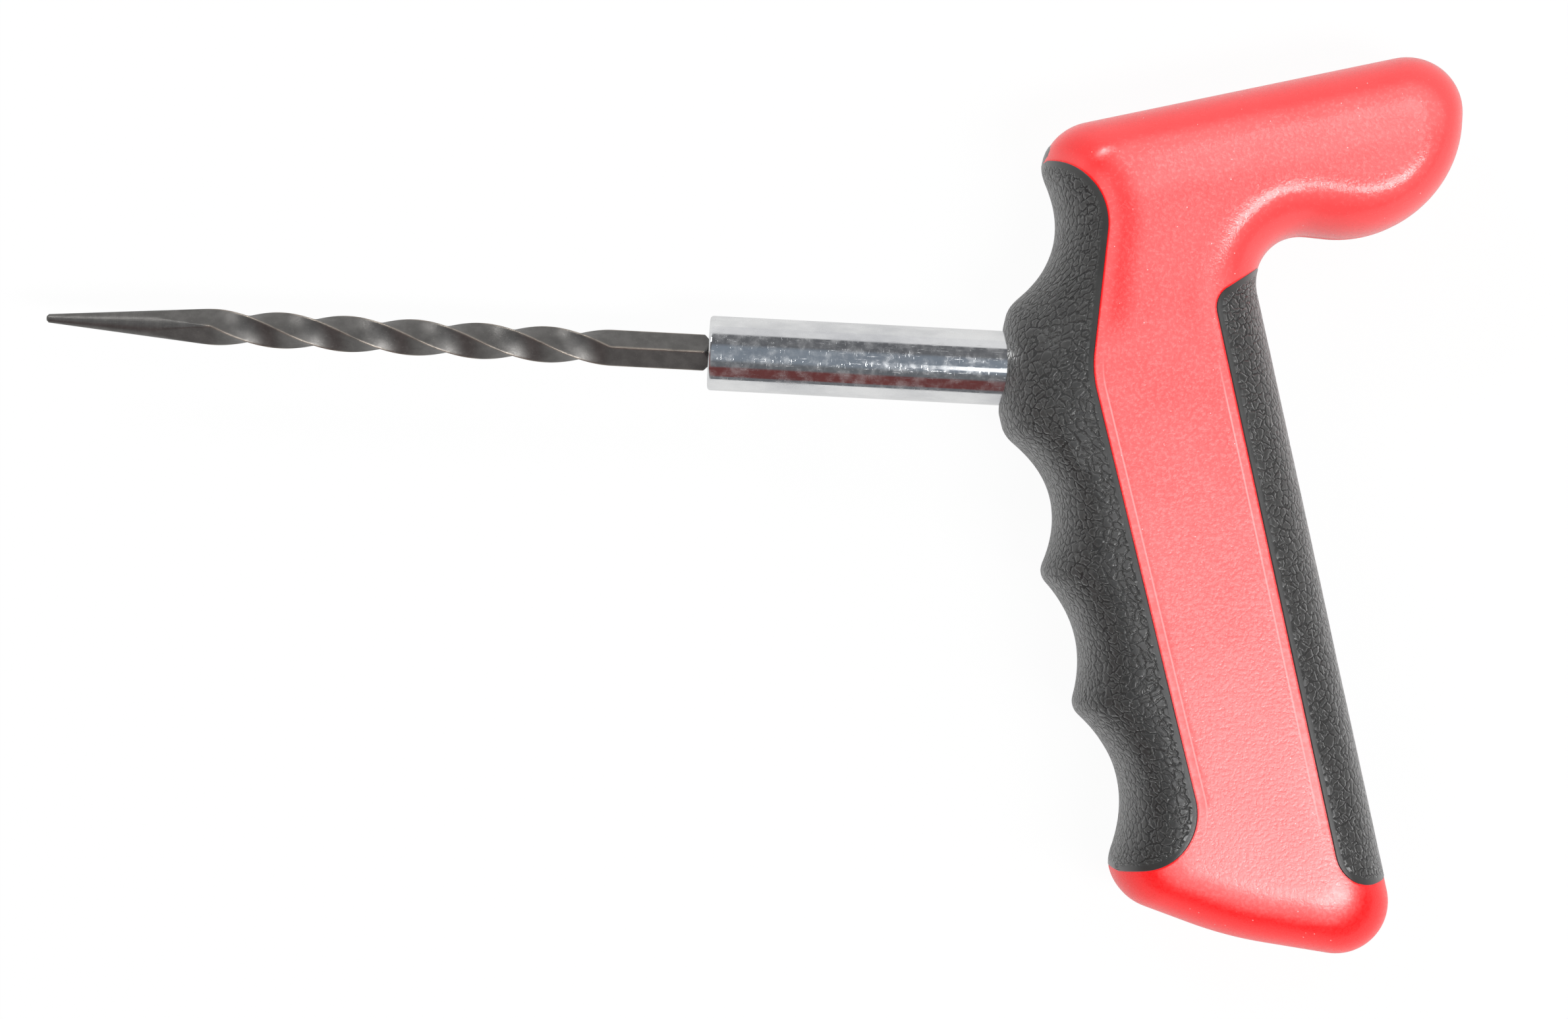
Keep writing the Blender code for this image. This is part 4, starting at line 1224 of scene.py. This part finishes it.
def red_plastic(plastic):
    """Red plastic from a spark-eroded mould: fine bumps, a smooth border and some dust, with painted light on
    the flat sides and the horn's rim, painted highlights and painted shade beside the neck.
    """
    material, bench = new_material("red spark-textured plastic")
    place = bench.place()
    onward, height = bench.axis(place, "X"), bench.axis(place, "Y")
    grain = bench.noise(place, plastic.grain, 3.0, 0.65)
    cloud = bench.noise(place, CLOUD_WIDTH, 3.0)
    flat = bench.attribute("flat")
    gap = bench.attribute("joint")
    span = bench.attribute("span")
    deep = tuple(plastic.colour)

    # Painted light makes the flat sides paler, less so on the horn, and a painted highlight makes them paler
    # again under its top edge
    fade = bench.ramp(height, *FLAT_LIGHT_ZONE, 1.0, FLAT_LIGHT_LEFT)
    level = bench.math("SUBTRACT", height, bench.times(onward, math.tan(HORN_RISE)))
    horn_top_highlight = bench.ramp(level, *HORN_HIGHLIGHT_ZONE, 0.0, HORN_HIGHLIGHT_GAIN)
    lit_flat_share = bench.times(flat, bench.plus(fade, horn_top_highlight))
    # Grain paler where the painted light falls: painted sparkle
    grain_sparkle = bench.times(bench.ramp(grain, 0.46, 0.66, 0.03, 0.42), lit_flat_share)

    # Painted shade of a hollow beside the rubber at the neck
    neck = bench.times(bench.ramp(onward, *NECK_BACK), bench.ramp(height, *NECK_FOOT))
    painted_hollow_shade = bench.times(bench.ramp(gap, *HOLLOW_START, 0.0, HOLLOW_SHADE), bench.ramp(gap, *HOLLOW_END))

    # Lowered border beside the rubber and a painted highlight along its slope
    end = plastic.border + plastic.border_slope
    border = bench.times(bench.ramp(gap, end, plastic.border), span)
    line = bench.math("ABSOLUTE", bench.math("SUBTRACT", gap, (plastic.border + end) / 2), 0.0)
    line = bench.times(bench.ramp(line, plastic.border_slope, 0.0), span)

    # Base colour with painted light on the horn's rim and the flat sides, painted sparkle, painted shade in
    # the neck's hollow and a painted highlight on the border's slope
    body = bench.coats(
        bench.blend(bench.ramp(height, *RIM_LIGHT_ZONE), deep, tuple(plastic.horn_rim_lit_colour)),
        (lit_flat_share, tuple(plastic.flat_lit_colour)),
        (bench.ramp(cloud, 0.35, 0.75, 0.0, 0.18), tinted(deep, 0.9)),
        (grain_sparkle, SPARKLE_COLOUR),
        (bench.times(neck, painted_hollow_shade), deep),
        (bench.times(border, 0.20), BORDER_COLOUR),
        (bench.times(line, 0.55), SLOPE_HIGHLIGHT_COLOUR),
        (bench.specks(place, *RED_SPECKS), RED_DUST),
        (bench.ramp(gap, *EDGE_LINE), deep),
    )
    rough = bench.plus(
        bench.ramp(grain, 0.3, 0.7, plastic.roughness - 0.05, plastic.roughness + 0.07),
        bench.ramp(height, *POLISH_ZONE, POLISH, -POLISH),
    )
    depth = bench.times(
        bench.ramp(border, 0.0, 1.0, 1.0, 0.4),
        bench.ramp(flat, 0.0, 1.0, 0.12, 1.0),
        bench.ramp(height, *GRAIN_ZONE, 1.0, GRAIN_GAIN),
    )
    normal = bench.bump(bench.times(grain, depth), GRAIN_DEPTH)
    bench.surface(Base_Color=body, Roughness=rough, Normal=normal, IOR=1.5, Specular_IOR_Level=0.58)
    return material


def black_rubber(rubber):
    """Black rubber with a leather grain: winding creases over dull folds, fine pores and dust, with painted
    shade in the creases and towards the bottom and painted highlights on the creases' lips.
    """
    material, bench = new_material("black leather-grain rubber")
    place = bench.place()
    spot = bench.attribute("skin", "Vector")
    grained = bench.attribute("grained")
    pores = bench.noise(place, PORE_WIDTH, 3.0, 0.6)
    patches = bench.noise(place, PATCH_WIDTH, 2.0)

    # Cells of the leather grain, with edges that wind
    sway = {"Vector": spot, "Scale": 0.9 / rubber.cell, "Detail": 2.0}
    sway = bench.add("ShaderNodeTexNoise", sway, noise_dimensions="2D").outputs["Color"]
    shift = bench.add("ShaderNodeVectorMath", {0: sway, 1: (rubber.cell,) * 3}, operation="MULTIPLY")
    bent = bench.add("ShaderNodeVectorMath", {0: spot, 1: shift.outputs["Vector"]}, operation="ADD")
    cells = bench.add(
        "ShaderNodeTexVoronoi",
        {"Vector": bent.outputs["Vector"], "Scale": 1 / rubber.cell},
        voronoi_dimensions="2D",
        feature="DISTANCE_TO_EDGE",
    )
    from_crease = cells.outputs["Distance"]

    # Creases, which break off here and there, the painted highlights on their lips and the swell of each cell
    broken = bench.ramp(bench.noise(spot, rubber.cell * 0.9, 1.0), 0.34, 0.46)
    deep = bench.times(bench.ramp(bench.attribute("steep"), 0.0, 1.0, 0.7, 1.0), grained, broken)
    crease = bench.times(bench.ramp(from_crease, 0.17, 0.07), deep)
    lip_highlight = bench.times(bench.ramp(from_crease, 0.36, 0.20), deep)
    swell = bench.times(bench.ramp(from_crease, 0.03, 0.27), grained)

    colour = tuple(rubber.colour)
    body = bench.coats(
        bench.blend(bench.ramp(patches, 0.35, 0.65), tinted(colour, 0.85), tinted(colour, 1.15)),
        # Painted highlights on the lips and painted shade in the creases
        (bench.times(lip_highlight, 0.45), tinted(colour, 3.2)),
        (bench.times(crease, 0.95), tinted(colour, 0.08)),
        (bench.specks(place, *RUBBER_SPECKS), RUBBER_DUST),
        # Painted shade towards the bottom
        (bench.ramp(bench.axis(place, "Y"), *SHADED_BOTTOM_ZONE, 0.0, BOTTOM_SHADE_DEPTH), tinted(colour, 0.3)),
    )
    rough = bench.ramp(pores, 0.3, 0.7, rubber.roughness - 0.06, rubber.roughness + 0.06)
    depth = bench.ramp(grained, 0.0, 1.0, 0.35, 1.0)
    normal = bench.bump(bench.times(pores, depth), PORE_DEPTH, 0.5)
    normal = bench.bump(swell, CELL_SWELL, 1.0, normal)
    normal = bench.bump(bench.math("SUBTRACT", 1.0, crease), CREASE_DEPTH, 1.0, normal)
    bench.surface(
        Base_Color=body, Roughness=rough, Normal=normal, IOR=1.5, Sheen_Weight=0.42, Sheen_Roughness=0.45
    )
    return material


def polished_chrome(metal):
    """Chromed sleeve: bright and slightly wavy, with fine scratches, smears, haze and specks of dust."""
    material, bench = new_material("polished chrome with scratches")
    place = bench.place()
    along_it = bench.place((0.06, 1, 1), (0, 0, math.radians(4)))
    along_it = bench.noise(along_it, SCRATCH_WIDTH, 2.0, 0.6)
    round_it = bench.place((1, 0.09, 0.09), (0, 0, math.radians(-7)))
    round_it = bench.noise(round_it, ROUND_SCRATCH_WIDTH, 2.0, 0.6)
    scratches = bench.math("MAXIMUM", bench.ramp(along_it, 0.63, 0.71), bench.ramp(round_it, 0.65, 0.73))
    smears = bench.noise(bench.place((0.5, 1, 1)), SMEAR_WIDTH, 4.0, 0.6)
    haze = bench.noise(place, HAZE_WIDTH, 5.0, 0.65)
    dust = bench.specks(place, *CHROME_SPECKS)
    rough = bench.plus(
        bench.ramp(smears, 0.45, 0.75, metal.chrome_roughness, metal.chrome_roughness + 0.09),
        bench.ramp(haze, 0.44, 0.66, 0.0, 0.10),
        bench.times(scratches, 0.20),
        bench.times(dust, 0.3),
    )
    chrome = tuple(metal.chrome)
    body = bench.coats(
        bench.blend(bench.ramp(smears, 0.35, 0.75), tinted(chrome, 1.08), tinted(chrome, 0.84)),
        (dust, CHROME_DUST),
    )
    normal = bench.bump(bench.math("SUBTRACT", 1.0, scratches), SCRATCH_DEPTH, 0.4)
    normal = bench.bump(bench.noise(place, WAVE_WIDTH, 2.0), WAVE_DEPTH, 0.35, normal)
    film = bench.ramp(haze, 0.40, 0.70, 1.0, 0.90)
    bench.surface(Base_Color=body, Metallic=film, Roughness=rough, Normal=normal)
    return material


def probe_steel(metal):
    """Dark oxide on the bar with paler speckles that are painted glints, bare brownish steel on its worn
    edges, turning marks on its point and tang.
    """
    material, bench = new_material("dark oxide steel with worn edges")
    place = bench.place()
    speckle = bench.noise(place, SPECKLE_WIDTH, 4.0, 0.7)
    patches = bench.noise(place, WEAR_WIDTH, 3.0, 0.6)
    lathe = bench.noise(bench.place((1, 0.02, 0.02)), LATHE_WIDTH, 2.0, 0.6)
    bare = bench.times(bench.attribute("worn"), bench.ramp(patches, 0.28, 0.55, 0.35, 1.0))
    rings = bench.times(bench.ramp(lathe, 0.45, 0.65), bench.attribute("turned"))
    oxide = tuple(metal.oxide)
    body = bench.coats(
        bench.blend(bench.ramp(patches, 0.35, 0.7), tinted(oxide, 0.88), tinted(oxide, 1.14)),
        # Paler speckles: painted glints
        (bench.ramp(speckle, 0.60, 0.75), tinted(oxide, 1.9)),
        (bare, tuple(metal.worn)),
        (bench.times(rings, 0.12), tinted(oxide, 1.6)),
    )
    rough = bench.ramp(speckle, 0.3, 0.7, 0.40, 0.52)
    rough = bench.math("SUBTRACT", rough, bench.times(bare, 0.08))
    normal = bench.bump(speckle, SPECKLE_DEPTH, 0.45)
    normal = bench.bump(rings, LATHE_DEPTH, 0.4, normal)
    bench.surface(Base_Color=body, Metallic=0.85, Roughness=rough, Normal=normal)
    return material


def plain_steel(name, colour, roughness):
    """Steel of the small pieces, with fine turning marks and soft stains."""
    material, bench = new_material(name)
    marks = bench.noise(bench.place((0.05, 0.05, 1)), MARK_WIDTH, 2.0, 0.6)
    stains = bench.noise(bench.place(), STAIN_WIDTH, 3.0)
    body = bench.blend(bench.ramp(stains, 0.35, 0.7), tinted(colour, 0.8), tinted(colour, 1.25))
    rough = bench.ramp(marks, 0.3, 0.7, roughness - 0.08, roughness + 0.10)
    normal = bench.bump(marks, MARK_DEPTH, 0.5)
    bench.surface(Base_Color=body, Metallic=1.0, Roughness=rough, Normal=normal)
    return material


class TIREPROBE_OT_shells(bpy.types.Operator):
    """Build the two red halves of the handle"""

    bl_idname = "tire_probe.dress_shells"
    bl_label = "Handle Halves"

    def execute(self, context):
        plastic = context.scene.tire_probe_plastic
        form = handle_form()
        red = red_plastic(plastic)
        left = shell("left_red_half", 1, form, plastic)
        finished(left, red, "handle", "left_handle_shell")
        right = shell("right_red_half", -1, form, plastic)
        finished(right, red, "handle", "right_handle_shell")
        return {"FINISHED"}


class TIREPROBE_OT_grips(bpy.types.Operator):
    """Build the rubber front and the rubber backstrap"""

    bl_idname = "tire_probe.dress_grips"
    bl_label = "Rubber Grips"

    def execute(self, context):
        rubber = context.scene.tire_probe_rubber
        form = handle_form()
        black = black_rubber(rubber)
        front = grip("rubber_front", form, front_rubber_sides(), FRONT_GRID, rubber, FRONT_TAB)
        finished(front, black, "handle", "front_grip")
        back = grip("rubber_backstrap", form, back_rubber_sides(), BACK_GRID, rubber)
        finished(back, black, "handle", "rear_grip")
        return {"FINISHED"}


class TIREPROBE_OT_sleeve(bpy.types.Operator):
    """Build the chromed sleeve and finish the pin that holds it"""

    bl_idname = "tire_probe.dress_sleeve"
    bl_label = "Sleeve and Pin"

    def execute(self, context):
        metal = context.scene.tire_probe_metal
        finished(sleeve_piece(), polished_chrome(metal), "handle", "chuck_sleeve")
        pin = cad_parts["cross_pin"]
        pin.material_slots[0].material = plain_steel("ground pin steel", tuple(metal.pin), 0.34)
        return {"FINISHED"}


class TIREPROBE_OT_screw(bpy.types.Operator):
    """Build the set screw"""

    bl_idname = "tire_probe.dress_screw"
    bl_label = "Set Screw"

    def execute(self, context):
        metal = context.scene.tire_probe_metal
        black = plain_steel("black oxide screw steel", tuple(metal.screw), 0.40)
        finished(screw_piece(metal), black, "set_screw", "set_screw")
        return {"FINISHED"}


class TIREPROBE_OT_probe(bpy.types.Operator):
    """Build the twisted probe"""

    bl_idname = "tire_probe.dress_probe"
    bl_label = "Probe"

    def execute(self, context):
        metal = context.scene.tire_probe_metal
        finished(probe_piece(metal), probe_steel(metal), "probe", "probe")
        return {"FINISHED"}


def soft_box(name, place, size, power):
    """Soft lamp that hangs level over the tool."""
    lamp = bpy.data.lights.new(name, "AREA")
    lamp.shape = "RECTANGLE"
    lamp.size, lamp.size_y = size
    lamp.energy = power
    linked(name, lamp).location = place


def pale_floor(settings):
    """White floor that keeps a part of the shadow on it."""
    corners = [(-1, -1), (1, -1), (1, 1), (-1, 1)]
    corners = [(x * FLOOR_REACH, y * FLOOR_REACH, -FLOOR_DROP) for x, y in corners]
    floor = new_object("floor", corners, [(0, 1, 2, 3)])
    material, bench = new_material("pale floor")
    fibre = bench.noise(bench.place(), FIBRE_WIDTH, 3.0)
    colour = tuple(settings.floor)
    tone = bench.blend(fibre, tinted(colour, 0.99), colour)
    matt = bench.add("ShaderNodeBsdfDiffuse", {"Color": tone})
    path = bench.add("ShaderNodeLightPath").outputs
    strength = bench.ramp(path["Is Camera Ray"], 0.0, 1.0, settings.mirrored, 1.0)
    white = bench.add("ShaderNodeEmission", {"Color": (1, 1, 1, 1), "Strength": strength})
    seen = bench.math("MAXIMUM", path["Is Camera Ray"], path["Is Glossy Ray"])
    share = bench.times(seen, 1 - settings.shadow)
    shaders = {0: share, 1: matt.outputs["BSDF"], 2: white.outputs["Emission"]}
    mixed = bench.add("ShaderNodeMixShader", shaders)
    bench.add("ShaderNodeOutputMaterial", {"Surface": mixed.outputs["Shader"]})
    floor.data.materials.append(material)


def studio_world(settings):
    """White surroundings: even light on dull surfaces, and walls under a dim ceiling in reflections."""
    world = bpy.data.worlds.new("studio")
    bpy.context.scene.world = world
    bench = NodeBench(world)
    look = bench.add("ShaderNodeTexCoord").outputs["Generated"]
    rise = bench.axis(look, "Z")
    near = NEAR_TONES[0]
    for edge, tone in zip(NEAR_EDGES, NEAR_TONES[1:]):
        near = bench.blend(bench.ramp(rise, *edge), near, tone)
    far = bench.blend(bench.ramp(rise, *FAR_EDGE), *FAR_TONES)
    walls = bench.blend(bench.ramp(bench.axis(look, "Y"), *WALL_CORNER), near, far)
    room = bench.blend(bench.ramp(rise, *CEILING_EDGE), walls, CEILING_TONE)
    horizon, top = (settings.dome,) * 3, (settings.dome * DOME_TOP,) * 3
    even = bench.blend(bench.ramp(rise, 0.0, 1.0), horizon, top)
    path = bench.add("ShaderNodeLightPath").outputs
    dome = bench.coats(even, (path["Is Glossy Ray"], room), (path["Is Camera Ray"], (1, 1, 1)))
    sky = bench.add("ShaderNodeBackground", {"Color": dome, "Strength": 1.0})
    bench.add("ShaderNodeOutputWorld", {"Surface": sky.outputs["Background"]})


class TIREPROBE_OT_stage(bpy.types.Operator):
    """Set the floor, the light and the camera"""

    bl_idname = "tire_probe.set_stage"
    bl_label = "Stage"

    def execute(self, context):
        settings = context.scene.tire_probe_stage
        pale_floor(settings)
        studio_world(settings)
        for word, place, size in SOFT_BOXES:
            soft_box(f"{word} soft box", place, size, getattr(settings, word))
        data = bpy.data.cameras.new("camera")
        data.sensor_fit = "HORIZONTAL"
        data.sensor_width = SENSOR_WIDTH
        data.lens = settings.lens
        data.clip_start = 0.01
        camera = linked("camera", data)
        distance = settings.view_width * settings.lens / SENSOR_WIDTH
        camera.location = (*CAMERA_PLACE, MID + distance)
        camera.rotation_euler = (0, 0, settings.roll)
        context.scene.camera = camera
        context.scene.view_settings.view_transform = "Standard"
        return {"FINISHED"}


class TIREPROBE_PT_looks(bpy.types.Panel):
    """Lists the pieces and their settings"""

    bl_label = "Tire Probe"
    bl_idname = "TIREPROBE_PT_looks"
    bl_space_type = "VIEW_3D"
    bl_region_type = "UI"
    bl_category = "Tire Probe"

    def draw(self, context):
        layout = self.layout
        for operator in OPERATORS:
            layout.operator(operator.bl_idname)
        for word, group in GROUPS.items():
            box = layout.box()
            settings = getattr(context.scene, word)
            for name in group.__annotations__:
                box.prop(settings, name)


GROUPS = {
    "tire_probe_plastic": TireProbePlastic,
    "tire_probe_rubber": TireProbeRubber,
    "tire_probe_metal": TireProbeMetal,
    "tire_probe_stage": TireProbeStage,
}
OPERATORS = (
    TIREPROBE_OT_shells,
    TIREPROBE_OT_grips,
    TIREPROBE_OT_sleeve,
    TIREPROBE_OT_screw,
    TIREPROBE_OT_probe,
    TIREPROBE_OT_stage,
)


def register():
    for group in GROUPS.values():
        bpy.utils.register_class(group)
    for word, group in GROUPS.items():
        setattr(bpy.types.Scene, word, PointerProperty(type=group))
    for operator in OPERATORS:
        bpy.utils.register_class(operator)
    bpy.utils.register_class(TIREPROBE_PT_looks)


def unregister():
    bpy.utils.unregister_class(TIREPROBE_PT_looks)
    for operator in reversed(OPERATORS):
        bpy.utils.unregister_class(operator)
    for word, group in reversed(GROUPS.items()):
        delattr(bpy.types.Scene, word)
        bpy.utils.unregister_class(group)


def main():
    register()
    bpy.ops.tire_probe.dress_shells()
    bpy.ops.tire_probe.dress_grips()
    bpy.ops.tire_probe.dress_sleeve()
    bpy.ops.tire_probe.dress_screw()
    bpy.ops.tire_probe.dress_probe()
    bpy.ops.tire_probe.set_stage()


if __name__ == "__main__":
    main()
